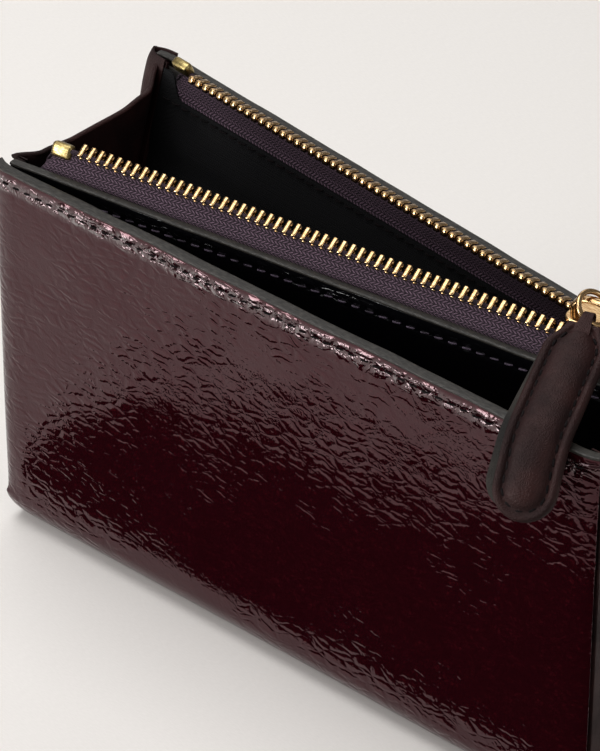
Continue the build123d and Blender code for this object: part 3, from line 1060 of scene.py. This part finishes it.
@dataclass
class ZipRow:
    """One side of the zip: a woven tape, its corded edge, its teeth and its top stop."""

    wardrobe: Wardrobe
    side: int
    body: Body
    opened: Callable[[Point], Point]
    first_tooth: float
    pitch: float = 2.5
    lean: float = 62.0
    base_z: float = 109.6
    reach: float = 1.7
    last_tooth: float = 76.0
    tooth_width: float = 1.2
    stop_lift: float = -1.8
    head_depth: float = 1.3
    head_shift: float = 0.35

    def make_tooth(self) -> Piece:
        """Model one tooth: a slim outer leg, a wide cupped head inside, and the leg below it."""
        outer, inner = 0.6 * self.side, -0.6 * self.side
        leg = block("leg", (self.tooth_width, 0.62, 3.45), (0, outer, 1.72), 0.27, 2)
        foot = block("foot", (self.tooth_width, 0.55, 2.3), (0, inner, 1.15), 0.2, 1)
        head_size = (self.tooth_width + 0.35, self.head_depth, 1.3)
        head = block("head", head_size, (0, self.head_shift * inner, 2.75), 0.5, 2)
        tooth = join("tooth_master", [leg, foot, head])
        soften(tooth, 60)
        return tooth

    def tooth_places(self) -> list[Matrix]:
        """Return where each tooth stands, in the open wallet."""
        count = int((self.last_tooth - self.first_tooth) / self.pitch) + 1
        places = []
        for index in range(count):
            x = self.first_tooth + self.pitch * index
            y = PLAN.zip_y + self.side * self.reach
            ahead = Vector(self.opened((x + 1, y, 0))) - Vector(self.opened((x, y, 0)))
            inward = Vector((-ahead.y, ahead.x, 0)) * -self.side
            lean = math.radians(self.lean)
            outward = Vector((0, 0, math.cos(lean))) + inward * math.sin(lean)
            cord = Vector(self.opened((x, y, self.base_z + 0.5)))
            places.append(pose_at(tuple(cord - 0.75 * outward), ahead, outward))
        return places

    def make_stop(self) -> Piece:
        """Model the folded metal stop at the left end of the row."""
        stop = block("stop", (5.6, 2.5, 3.7), (0, 0, 1.85), 0)
        modify(stop, "BEVEL", width=0.9 * MM, segments=4, limit_method="ANGLE", angle_limit=1.0)
        soften(stop, 60)
        x = self.first_tooth - 5.3
        y = PLAN.zip_y + self.side * (self.reach + 0.6)
        ahead = Vector(self.opened((1, 0, 0))) - Vector(self.opened((0, 0, 0)))
        inward = Vector((-ahead.y, ahead.x, 0)) * -self.side
        upward = Vector((0, 0, 1)) + 0.45 * inward
        stop.data.transform(pose_at(self.opened((x, y, self.base_z + self.stop_lift)), ahead, upward))
        return stop

    def lie(self, x: float) -> Pair:
        """Return how much the tape is turned down at its left end, and how far it is drawn back."""
        share = smooth((-76.0 - x) / 4.5)
        return 4.2 * share, 0.5 * share

    def make_tape(self) -> Piece:
        """Lay the tape from its foot on the wall, over the bend, to the teeth."""
        if self.side < 0:
            section = [(-5.85, 92), (-5.85, 96), (-5.85, 100), (-5.85, 103.6), (-5.75, 104.7)]
            section += [(-5.45, 105.5), (-5.0, 106.2), (-4.2, 107.2), (-3.4, 108.2), (-2.6, 109.3)]
            section += [(-2.2, 110.3)]
        else:
            section = [(0, 92), (0, 95), (0, 98), (0, 101), (0, 103), (0.1, 104), (0.3, 105)]
            section += [(0.5, 106.2), (0.7, 107.4), (0.9, 108.5), (1.0, 109.6), (1.08, 110.3)]
        rows = len(section) - 1

        def place(u: float, v: float) -> Point:
            x = -80 + 160 * u
            y, z = section[round(v * rows)]
            down, back = self.lie(x)
            share = smooth((z - 104) / 6)
            z -= down * share
            ripple = 0.09 * math.sin(x * 0.9) * share + 0.12 * wander(x, z, 3.0 + self.side)
            if self.side < 0:
                return self.opened((x, y + ripple - back * share, z))
            x, line, _ = self.opened((x, PLAN.zip_y + self.reach, z))
            wall = PLAN.back_face(x, min(z, 104.0)) - 3.35
            return x, wall + (line - wall) * smooth(y) + ripple + back * share, z

        name, length = ("front_tape", 19) if self.side < 0 else ("back_tape", 20)
        return lay_sheet(name, (160, length), (110, rows), place, 0.5)

    def make_cord(self) -> Piece:
        """Run the cord that the teeth grip along the tape's edge."""

        def place(round_it: float, share: float) -> Point:
            x = -79.5 + 157 * share
            down, back = self.lie(x)
            angle = round_it * math.tau
            y = PLAN.zip_y + self.side * (self.reach + back) + 0.62 * math.cos(angle)
            return self.opened((x, y, 110.15 - down + 0.62 * math.sin(angle)))

        name = "front_tape_cord" if self.side < 0 else "back_tape_cord"
        return shape_bar(name, 8, 90, place)

    def build(self) -> None:
        """Build and dress this side of the zip."""
        label = "front" if self.side < 0 else "back"
        tape = self.make_tape()
        cord = self.make_cord()
        self.wardrobe.dress(cord, Slot.TAPE, self.body)
        flat = (160, 19 if self.side < 0 else 20)
        self.wardrobe.dress_sheet(
            tape, flat, "stretched", Slot.TAPE, self.body, f"{label}_zip_tape", with_pieces=[cord]
        )
        tooth = self.make_tooth()
        teeth = repeat(f"{label}_tooth_row", tooth, self.tooth_places())
        self.wardrobe.dress(teeth, Slot.GOLD, self.body, f"{label}_teeth")
        discard(tooth)
        stop = self.make_stop()
        stop.name = stop.data.name = f"{label}_stop_clip"
        self.wardrobe.dress(stop, Slot.BRASS, self.body, f"{label}_top_stop")


@dataclass
class Divider:
    """The wall between the slip pocket and the zip compartment."""

    wardrobe: Wardrobe
    stitch_z: float = 101.3
    stitch_pitch: float = 3.7
    stitch: Point = (2.6, 0.2, 0.15)

    def face(self, x: float, z: float) -> Point:
        """Return the divider's front face where it stands open."""
        groove = 0.22 * math.exp(-(((z - self.stitch_z) / 0.7) ** 2))
        return open_divider((x, -8.2 + groove + 0.12 * wander(x, z, 5.0), z))

    def build(self) -> None:
        """Build and dress the divider."""
        heights = [5.4, 12, 20, 30, 40, 50, 60, 70, 80, 87, 92, 96, 98.5, 100, 100.6, 101.0]
        heights += [101.3, 101.6, 102, 102.7, 103.6, 104.4, 104.9]
        rows = len(heights) - 1

        def panel(u: float, v: float) -> Point:
            return self.face(-87 + 172 * u, heights[round(v * rows)])

        leather = lay_sheet("divider_leather", (172, 99.5), (90, rows), panel, 1.2, 0.2)
        board = ["divider_board"]
        self.wardrobe.dress_sheet(
            leather, (172, 99.5), "stretched", Slot.DIVIDER, Body.DIVIDER, "divider_panel", rests_on=board
        )

        def lining(u: float, v: float) -> Point:
            y = -5.62 + 0.04 * wander(u * 172, v * 87, 1.0)
            return open_divider((-87 + 172 * u, y, 92.2 - 86.8 * v))

        cloth = lay_sheet("divider_lining_cloth", (172, 86.8), (60, 30), lining, 0.5)
        self.wardrobe.dress_sheet(
            cloth, (172, 86.8), "stretched", Slot.LINING, Body.DIVIDER, "divider_lining", rests_on=board
        )
        paint = bead(
            "divider_edge_bead",
            lambda x: open_divider((x, -7.2, 105.0)),
            (-86.9, 84.9),
            (1.05, 0.48),
            2.1,
        )
        self.wardrobe.dress(paint, Slot.PAINT, Body.DIVIDER, "divider_edge_paint")
        outward = Vector(open_divider((0, -1, 0))) - Vector(open_divider((0, 0, 0)))
        self.wardrobe.dress_seam(
            "divider_stitches",
            self.stitch,
            lambda x: self.face(x, self.stitch_z),
            lambda x: outward,
            (-84, 82),
            self.stitch_pitch,
            Slot.DIVIDER,
            Body.DIVIDER,
        )
        self.wardrobe.dress_seam(
            "front_tape_stitches",
            self.stitch,
            lambda x: open_divider((x, -5.58, 97.0)),
            lambda x: -outward,
            (-78, 78),
            3.4,
            Slot.TAPE,
            Body.DIVIDER,
        )
        end_stop = block("end_stop_clip", (3.0, 4.2, 2.9), (0, 0, 0), 0.5, 3)
        soften(end_stop, 60)
        ahead = Vector(open_divider((1, 0, 0))) - Vector(open_divider((0, 0, 0)))
        end_stop.data.transform(pose_at(open_divider((81, 1.6, 111.15)), ahead, Vector((0, 0, 1))))
        self.wardrobe.dress(end_stop, Slot.BRASS, Body.DIVIDER, "bottom_stop")
        self.wardrobe.dress_node("divider_board", Slot.BOARD)


@dataclass
class BackWall:
    """The back wall above its foot, which swings with the zip's back row."""

    wardrobe: Wardrobe
    leather: float = 1.4
    lining_top: float = 101.6
    stitch: Point = (2.5, 0.2, 0.16)

    def make_binding(self, side: int) -> Piece:
        """Fold a strip of leather round one end of the wall."""
        path = [(85.6, -3.5), (87.4, -3.5), (89.0, -3.3), (90.3, -2.6), (90.9, -1.5)]
        path += [(90.5, -0.4), (89.2, 0.25), (87.4, 0.45), (85.6, 0.45)]
        count = len(path) - 1

        def place(u: float, v: float) -> Point:
            share = u if side < 0 else 1 - u
            x, depth = path[round(share * count)]
            z = 22 + (108.6 - 22) * v
            roll = PLAN.end_roll(x, 1.4) if depth > -1.5 else 0.0
            x += 0.35 * (x - 85.6) * smooth((z - 84) / 18) * (1 - 0.6 * smooth((z - 106.2) / 2.4))
            return side * x, PLAN.back_face(side * x, z) + depth - roll + 0.08 * wander(z, x, 3.3), z

        name = "back_binding_left" if side < 0 else "back_binding_right"
        return lay_sheet(name, (12.5, 86.6), (count, 40), place, 0.6, 0.12)

    def build(self) -> None:
        """Build and dress the back wall."""
        heights = [20, 27, 34, 41, 48, 55, 62, 69, 76, 83, 89, 94, 98, 100.5]
        heights += [102.3, 103.4, 103.9, 104.4, 105.2, 106.4, 107.4, 107.9]
        rows = len(heights) - 1

        def face(x: float, z: float, inset: float = 0.0) -> Point:
            groove = 0.25 * math.exp(-(((z - 103.9) / 0.7) ** 2))
            slack = 0.2 * wander(x, z, 6.0) * smooth((z - 20) / 15)
            return x, PLAN.back_face(x, z) - inset - groove - PLAN.end_roll(x, 1.4) + slack, z

        def skin_place(u: float, v: float) -> Point:
            return face(-90 + 180 * u, heights[rows - round(v * rows)])

        skin = lay_sheet("back_skin", (180, 92), (90, rows), skin_place, self.leather, 0.25)
        self.wardrobe.dress_sheet(
            skin, (180, 92), "stretched", Slot.PATENT, None, "back_panel", rests_on=["back_edge_board"]
        )

        def lining_place(u: float, v: float) -> Point:
            x = -88.4 + 176.8 * u
            top = self.lining_top + 5.2 * smooth((abs(x) - 79.5) / 2.0)
            z = 24 + (top - 24) * v
            depth = 2.85 + 0.7 * smooth((z - 86) / 5)
            billow = 0.5 * math.sin(math.pi * u) * math.sin(math.pi * v) * (1 + wander(x, z, 4.0))
            return x, PLAN.back_face(x, z) - depth - 0.25 - billow, z

        lining = lay_sheet("back_lining_cloth", (176.8, 80), (110, 40), lining_place, 0.45)
        self.wardrobe.dress_sheet(lining, (176.8, 80), "stretched", Slot.LINING, None, "back_lining")
        bindings = [self.make_binding(side) for side in (-1, 1)]
        for piece in bindings:
            self.wardrobe.dress_sheet(piece, (12.5, 86.5), "folded", Slot.BROWN, None)
        for piece in (skin, lining, *bindings):
            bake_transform(piece)
        paint = bead(
            "back_edge_bead",
            lambda x: (x, PLAN.back_face(x, 108) - 1.0 - PLAN.end_roll(x, 1.4), 108.0),
            (-89.8, 89.8),
            (1.05, 0.46),
            4.4,
        )
        self.wardrobe.dress(paint, Slot.PAINT, Body.BACK, "back_edge_paint")
        self.wardrobe.dress_seam(
            "back_stitches",
            self.stitch,
            lambda x: face(x, 103.9),
            lambda x: Vector((0, 1, 0)),
            (-87, 87),
            3.6,
            Slot.PATENT,
            Body.BACK,
        )
        self.wardrobe.dress_seam(
            "back_lining_stitches",
            self.stitch,
            lambda x: (x, PLAN.back_face(x, 100.7) - 4.28, 100.7),
            lambda x: Vector((0, -1, 0)),
            (-84, 84),
            3.4,
            Slot.LINING,
            Body.BACK,
        )
        self.wardrobe.dress_node("back_edge_board", Slot.BOARD)


@dataclass
class ZipPull:
    """The slider, its arch, the ring and the padded leather pull."""

    wardrobe: Wardrobe
    slider_x: float = 66.5
    yaw: float = 11.5
    slider_y: float = 2.4
    axis_z: float = 118.3
    slope: float = 16.2
    ring_turn: float = 37.0
    straight: float = 28.0
    bend_radius: float = 11.0
    droop: float = 36.0
    tip: float = 8.0
    half_width: float = 7.1
    neck_half: float = 4.0
    neck_length: float = 7.0
    seam: float = 2.15

    def to_place(self) -> Matrix:
        """Return the move from the closed divider's frame to the open one, in metres."""
        hinge = Vector((-88, -8, 0)) * MM
        turned = Matrix.Rotation(math.radians(7), 4, "Z")
        return Matrix.Translation(hinge) @ turned @ Matrix.Translation(-hinge)

    def to_slider(self) -> Matrix:
        """Return the move from the slider's own middle to its place, in metres."""
        return self.to_place() @ Matrix.Translation(Vector((self.slider_x, self.slider_y, 0)) * MM)

    def plate(
        self, name: str, length: float, width: float, z: float, thick: float, taper: float
    ) -> Piece:
        """Model a slider plate: rounded in plan, narrower at its tail, with a softened rim."""

        def place(round_it: float, share: float) -> Point:
            cosine, sine = math.cos(round_it * math.tau), math.sin(round_it * math.tau)
            x = length / 2 * math.copysign(abs(cosine) ** 0.5, cosine)
            y = width / 2 * math.copysign(abs(sine) ** 0.5, sine) * (1 - taper * (x / length + 0.5))
            return x, y, z + thick * share

        made = shape_bar(name, 48, 1, place)
        modify(made, "BEVEL", width=0.3 * MM, segments=3, limit_method="ANGLE", angle_limit=1.0)
        return made

    def make_slider(self) -> Piece:
        """Model the slider as one polished casting."""
        top = self.plate("top", 13, 9, 113.3, 1.05, 0.18)
        bottom = self.plate("bottom", 13, 6.4, 106.9, 1.0, 0.12)
        wedge = block("wedge", (4, 2.4, 6.8), (-4.0, 0, 110.6), 0.7, 3)

        def rim(side: int, round_it: float, share: float) -> Point:
            x = -4.6 + 9.6 * share
            y = side * (4.05 - 0.75 * share)
            angle = round_it * math.tau
            return x, y + 0.42 * math.cos(angle), 112.95 + 0.62 * math.sin(angle)

        rims = [shape_bar("rim", 12, 10, partial(rim, side)) for side in (-1, 1)]
        slider = join("slider_casting", [top, bottom, wedge, *rims])
        soften(slider, 40)
        slider.data.transform(self.to_slider())
        return slider

    def make_arch(self) -> Piece:
        """Model the high arch that holds the ring, flowing out of the slider's top."""

        def place(round_it: float, share: float) -> Point:
            swing = math.pi * share
            angle = round_it * math.tau
            x = -5.3 * math.cos(swing)
            z = 113.9 + 4.55 * math.sin(swing) ** 0.62
            foot = abs(math.cos(swing)) ** 3
            radial = Vector((-math.cos(swing) * 0.7, 0, math.sin(swing) + 0.15)).normalized()
            wide, deep = 1.25 + 0.5 * foot, 0.68 + 0.25 * foot
            offset = radial * deep * math.sin(angle)
            return x + offset.x, wide * math.cos(angle), z + offset.z

        arch = shape_bar("slider_arch", 20, 46, place)
        arch.data.transform(self.to_slider())
        return arch

    def along(self, distance: float) -> Pair:
        """Return the (y, z) at a distance from the arch along the pull's slope."""
        slope = math.radians(self.slope)
        return self.slider_y - math.cos(slope) * distance, self.axis_z - math.sin(slope) * distance

    def make_ring(self) -> Piece:
        """Model the round wire ring."""
        clear()
        bpy.ops.mesh.primitive_torus_add(
            major_segments=96, minor_segments=20, major_radius=4 * MM, minor_radius=0.66 * MM
        )
        ring = bpy.context.object
        ring.name = ring.data.name = "ring_wire"
        y, z = self.along(1.8)
        tilt = Matrix.Rotation(math.radians(self.slope), 4, "X")
        tilt = tilt @ Matrix.Rotation(math.radians(self.ring_turn), 4, "Y")
        swing = Matrix.Rotation(math.radians(self.yaw), 4, "Z")
        hang = Matrix.Translation(Vector((0, y - self.slider_y, z)) * MM)
        ring.data.transform(self.to_slider() @ swing @ hang @ tilt)
        soften(ring, 60)
        return ring

    def spine(self, s: float, rise: float) -> Pair:
        """Return the (y, z) at a distance along the pull and a rise from its middle layer."""
        bent = self.bend_radius * math.radians(self.droop)
        if s <= self.straight:
            return -s, rise
        angle = min((s - self.straight) / self.bend_radius, math.radians(self.droop))
        radius = self.bend_radius + rise
        y = -self.straight - radius * math.sin(angle)
        z = -self.bend_radius + radius * math.cos(angle)
        rest = max(s - self.straight - bent, 0.0)
        return y - rest * math.cos(angle), z - rest * math.sin(angle)

    def length(self) -> float:
        """Return the pull's length along its middle."""
        return self.straight + self.bend_radius * math.radians(self.droop) + self.tip + self.half_width

    def half_at(self, s: float, inset: float = 0.0) -> float:
        """Return half the pull's width at a distance along it."""
        half = self.half_width
        if s < self.neck_length:
            half = self.neck_half + (self.half_width - self.neck_half) * smooth(s / self.neck_length)
        centre = self.length() - self.half_width
        if s > centre:
            half = math.sqrt(max(self.half_width**2 - (s - centre) ** 2, 0.0))
        return max(half - inset, 0.0)

    def from_edge(self, x: float, s: float) -> float:
        """Return how far a point of the pull is from its outline."""
        centre = self.length() - self.half_width
        if s > centre:
            return self.half_width - math.hypot(x, s - centre)
        slant = 0.87 if s < self.neck_length else 1.0
        return min((self.half_at(s) - abs(x)) * slant, s + 0.6)

    def relief(self, x: float, s: float) -> float:
        """Return the padded relief: a flat margin, a sewn groove and a crowned middle."""
        gap = self.from_edge(x, s)
        groove = -0.75 * math.exp(-(((gap - self.seam) / 0.55) ** 2))
        crown = 1.35 * math.sqrt(smooth((gap - self.seam) / 4.2))
        lip = -0.3 * (1 - smooth(gap / 0.5))
        return groove + crown + lip

    def settle(self, x: float, s: float, rise: float) -> Point:
        """Return the place of a point of the pull on the open wallet."""
        y, z = self.spine(s, rise)
        slope = math.radians(self.slope)
        base_y, base_z = self.along(5.8 + 1.9)
        out_y = base_y + y * math.cos(slope) - z * math.sin(slope)
        out_z = base_z + y * math.sin(slope) + z * math.cos(slope)
        swung = turn((self.slider_x + x, out_y, out_z), (self.slider_x, self.slider_y), self.yaw)
        return open_divider(swung)

    def make_leather(self, name: str, side: int) -> Piece:
        """Lay the top or bottom leather over the filler."""
        total = self.length() - 0.12
        columns = [-1, -0.97, -0.93, -0.88, -0.83, -0.79, -0.755, -0.71]
        columns += [-0.65, -0.55, -0.42, -0.28, -0.14, 0]
        columns = columns + [-c for c in reversed(columns[:-1])]
        rows = 74

        def place(u: float, v: float) -> Point:
            s = total * (1 - v) if side > 0 else total * v
            if s > total - 8:
                share = (s - (total - 8)) / 8
                s = total - 8 + 8 * math.sin(share * math.pi / 2)
            x = columns[round(u * (len(columns) - 1))] * self.half_at(s, 0.1)
            bulge = self.relief(x, s) * (1 if side > 0 else 0.6)
            return self.settle(x, s, side * (1.45 + bulge))

        return lay_sheet(name, (16, total), (len(columns) - 1, rows), place, 0.95, 0.0)

    def make_rim(self) -> Piece:
        """Paint the pull's edge: a soft band round its outline."""
        total = self.length()
        outline: list[Pair] = []
        for step in range(30):
            s = total * 0.84 * step / 30
            outline.append((-self.half_at(s), s))
        mirrored = [(-x, s) for x, s in reversed(outline)]
        for step in range(25):
            angle = math.pi * step / 24
            s = total + self.half_width * (math.sin(angle) - 1)
            outline.append((-self.half_width * math.cos(angle), s))
        outline += mirrored
        outline = [p for i, p in enumerate(outline) if i == 0 or math.dist(p, outline[i - 1]) > 0.2]
        count = len(outline) - 1

        def place(round_it: float, share: float) -> Point:
            x, s = outline[min(round(share * count), count)]
            angle = round_it * math.tau
            cosine, sine = math.cos(angle), math.sin(angle)
            thick = 1.28 * math.copysign(abs(sine) ** 0.7, sine)
            centre = total - self.half_width
            if s > centre:
                direction = Vector((x, s - centre)).normalized()
            else:
                direction = Vector((math.copysign(1, x), 0))
            side = 0.55 * cosine - 0.34
            return self.settle(x + direction.x * side, s + direction.y * side, thick)

        return shape_bar("pull_rim", 12, count - 1, place)

    def make_loop(self) -> Piece:
        """Wrap the leather tab round the ring and down into the pull's neck."""
        path = [(-3.0, 1.35), (-1.5, 1.5), (0.0, 1.72)]
        for step in range(1, 12):
            angle = math.radians(90 - 15 * step)
            path.append((1.9 + 1.75 * math.cos(angle), 1.75 * math.sin(angle)))
        path += [(0.0, -1.72), (-1.5, -1.5), (-3.0, -1.35)]
        rows = len(path) - 1

        def place(u: float, v: float) -> Point:
            y, z = path[rows - round(v * rows)]
            wide = 3.9 if y < -1 else 2.4 if y > 1 else 3.9 - 1.5 * smooth((y + 1) / 2)
            return self.settle((u - 0.5) * wide, -y, z)

        return lay_sheet("pull_tab", (3, 13), (4, rows), place, 0.42, 0.1)

    def make_stitching(self, side: int) -> None:
        """Sew round the pull, inside its flat margin."""
        total = self.length()
        middle = total - self.half_width
        start, step = 2.2, 0.25
        down = [start + step * i for i in range(int((middle - start) / step))]
        spine = [(-self.half_at(s) + self.seam, s) for s in down]
        radius = self.half_width - self.seam
        angles = [math.pi * i / 90 for i in range(91)]
        arc = [(-radius * math.cos(a), middle + radius * math.sin(a)) for a in angles]
        route = spine + arc + [(-x, s) for x, s in reversed(spine)]
        distances = [0.0]
        for first, second in zip(route, route[1:]):
            distances.append(distances[-1] + math.dist(first, second))

        def at(distance: float) -> Pair:
            distance = min(max(distance, 0.0), distances[-1])
            index = max(i for i, d in enumerate(distances[:-1]) if d <= distance)
            span = distances[index + 1] - distances[index] or 1.0
            share = (distance - distances[index]) / span
            return tuple(a + (b - a) * share for a, b in zip(route[index], route[index + 1]))

        def path(distance: float) -> Point:
            x, s = at(distance)
            return self.settle(x, s, side * (1.45 + self.relief(x, s) - 0.02))

        def outward(distance: float) -> Vector:
            x, s = at(distance)
            return (Vector(self.settle(x, s, side)) - Vector(self.settle(x, s, 0))).normalized()

        self.wardrobe.dress_seam(
            f"pull_stitches_{'top' if side > 0 else 'bottom'}",
            (2.3, 0.3, 0.2),
            path,
            outward,
            (0.5, distances[-1] - 0.5),
            3.0,
            Slot.BROWN,
            Body.PULL,
        )

    def build(self) -> None:
        """Build and dress the slider, ring and pull."""
        dress = self.wardrobe.dress
        dress(self.make_slider(), Slot.GOLD, Body.SLIDER, "slider_body")
        dress(self.make_arch(), Slot.GOLD, Body.SLIDER, "slider_bridge")
        dress(self.make_ring(), Slot.GOLD, Body.RING, "pull_ring")
        top = self.make_leather("pull_top", 1)
        dress(top, Slot.BROWN, Body.PULL, "pull_top_leather")
        bottom = self.make_leather("pull_bottom", -1)
        dress(bottom, Slot.BROWN, Body.PULL, "pull_bottom_leather")
        dress(self.make_rim(), Slot.BROWN, Body.PULL, "pull_edge_welt")
        dress(self.make_loop(), Slot.BROWN, Body.PULL, "pull_loop")
        for side in (1, -1):
            self.make_stitching(side)
        self.wardrobe.dress_node("pull_filler", Slot.BOARD)


@dataclass
class Studio:
    """The pale floor, the soft lights and the camera."""

    azimuth: float = 40.507
    elevation: float = 36.0
    distance: float = 1.05
    target: Point = (-0.0039, 0.0, 0.0779)
    lens: float = 273.06
    lights: tuple[tuple[str, Point, float, float], ...] = (
        ("overhead", (-0.3, -0.05, 1.15), 0.9, 8.8),
        ("front_fill", (-0.5, -0.9, 0.75), 0.7, 4.0),
        ("glint", (-0.62, -1.0, 0.25), 0.4, 7.0),
        ("right_fill", (0.9, -0.1, 0.6), 0.5, 1.2),
        ("rear_fill", (-0.63, 0.74, 0.7), 0.6, 1.3),
    )

    def make_floor(self) -> None:
        """Lay a wide pale floor."""
        clear()
        bpy.ops.mesh.primitive_plane_add(size=8)
        floor = bpy.context.object
        floor.name = "studio_floor"
        paper = Finish("floor_paper", "wear", "ece8e4", "f0ece8", (0.75, 0.7), 0.02, (("Scale", 30.0),))
        floor.data.materials.append(paper.make())

    def make_flag(self) -> None:
        """Stand a dark reflector flat before the wallet, seen only in glossy surfaces."""
        outline = [(-104, -30), (-107, -50), (-101, -72), (-88, -80), (-61, -86), (-38, -91)]
        outline += [(-18, -95), (0, -104), (8, -125), (160, -125), (160, -24), (-90, -24)]
        clear()
        bpy.ops.mesh.primitive_circle_add(vertices=len(outline), radius=0.1, fill_type="NGON")
        flag = bpy.context.object
        flag.name = "studio_flag"
        for vertex, (x, y) in zip(flag.data.vertices, outline):
            vertex.co = Vector((x, y, 0.8)) * MM
        material = bpy.data.materials.new("flag_black")
        material.use_nodes = True
        shader = material.node_tree.nodes["Principled BSDF"]
        shader.inputs["Base Color"].default_value = (0.004, 0.004, 0.004, 1)
        shader.inputs["Specular IOR Level"].default_value = 0
        flag.data.materials.append(material)
        for rays in ("camera", "diffuse", "shadow", "transmission"):
            setattr(flag, f"visible_{rays}", False)

    def add_light(self, name: str, place: Point, size: float, power: float) -> None:
        """Hang a soft square light aimed at the wallet."""
        data = bpy.data.lights.new(name, "AREA")
        data.size, data.energy = size, power
        light = bpy.data.objects.new(name, data)
        light.location = place
        aim = Vector((0, 0.01, 0.06)) - Vector(place)
        light.rotation_euler = aim.to_track_quat("-Z", "Y").to_euler()
        bpy.context.collection.objects.link(light)

    def make_camera(self) -> None:
        """Set the camera at the viewing angle."""
        data = bpy.data.cameras.new("camera")
        data.lens, data.sensor_width, data.sensor_fit = self.lens, 36.0, "HORIZONTAL"
        data.clip_start, data.clip_end = 0.05, 20.0
        camera = bpy.data.objects.new("camera", data)
        az, el = math.radians(self.azimuth), math.radians(self.elevation)
        away = Vector((math.sin(az) * math.cos(el), -math.cos(az) * math.cos(el), math.sin(el)))
        camera.location = Vector(self.target) + away * self.distance
        camera.rotation_euler = (-away).to_track_quat("-Z", "Y").to_euler()
        bpy.context.collection.objects.link(camera)
        bpy.context.scene.camera = camera

    def build(self) -> None:
        """Build the studio."""
        self.make_floor()
        self.make_flag()
        world = bpy.data.worlds.new("studio_air")
        world.use_nodes = True
        air = world.node_tree.nodes["Background"]
        air.inputs["Color"].default_value = (1.0, 0.97, 0.94, 1)
        air.inputs["Strength"].default_value = 0.2
        bpy.context.scene.world = world
        for name, place, size, power in self.lights:
            self.add_light(name, place, size, power)
        self.make_camera()


def main() -> None:
    """Build the wallet and its studio, piece by piece."""
    logging.basicConfig(level=logging.INFO, format="%(message)s")
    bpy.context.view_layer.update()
    bpy.context.scene.view_settings.view_transform = "Standard"
    wardrobe = Wardrobe()
    Studio().build()
    FrontShell(wardrobe).build()
    left = ((0, 0.2), (0.12, 4.2), (0.32, 5.8), (0.62, 6.6), (0.8, 5.6), (1.0, 0.6))
    right = ((0, 0.0), (0.3, 2.6), (0.66, 0.2), (0.82, 1.4), (1.0, 0.0))
    Gusset(wardrobe, -1, -4.9, left, "left_gusset").build()
    Gusset(wardrobe, 1, -8.4, right, "right_gusset").build()
    Divider(wardrobe).build()
    BackWall(wardrobe).build()
    ZipRow(wardrobe, -1, Body.DIVIDER, open_divider, first_tooth=-70.25).build()
    ZipRow(
        wardrobe,
        1,
        Body.BACK,
        open_back,
        first_tooth=-71.5,
        lean=72.0,
        tooth_width=1.6,
        stop_lift=0.0,
        head_depth=2.0,
        head_shift=0.0,
    ).build()
    ZipPull(wardrobe).build()


if __name__ == "__main__":
    main()
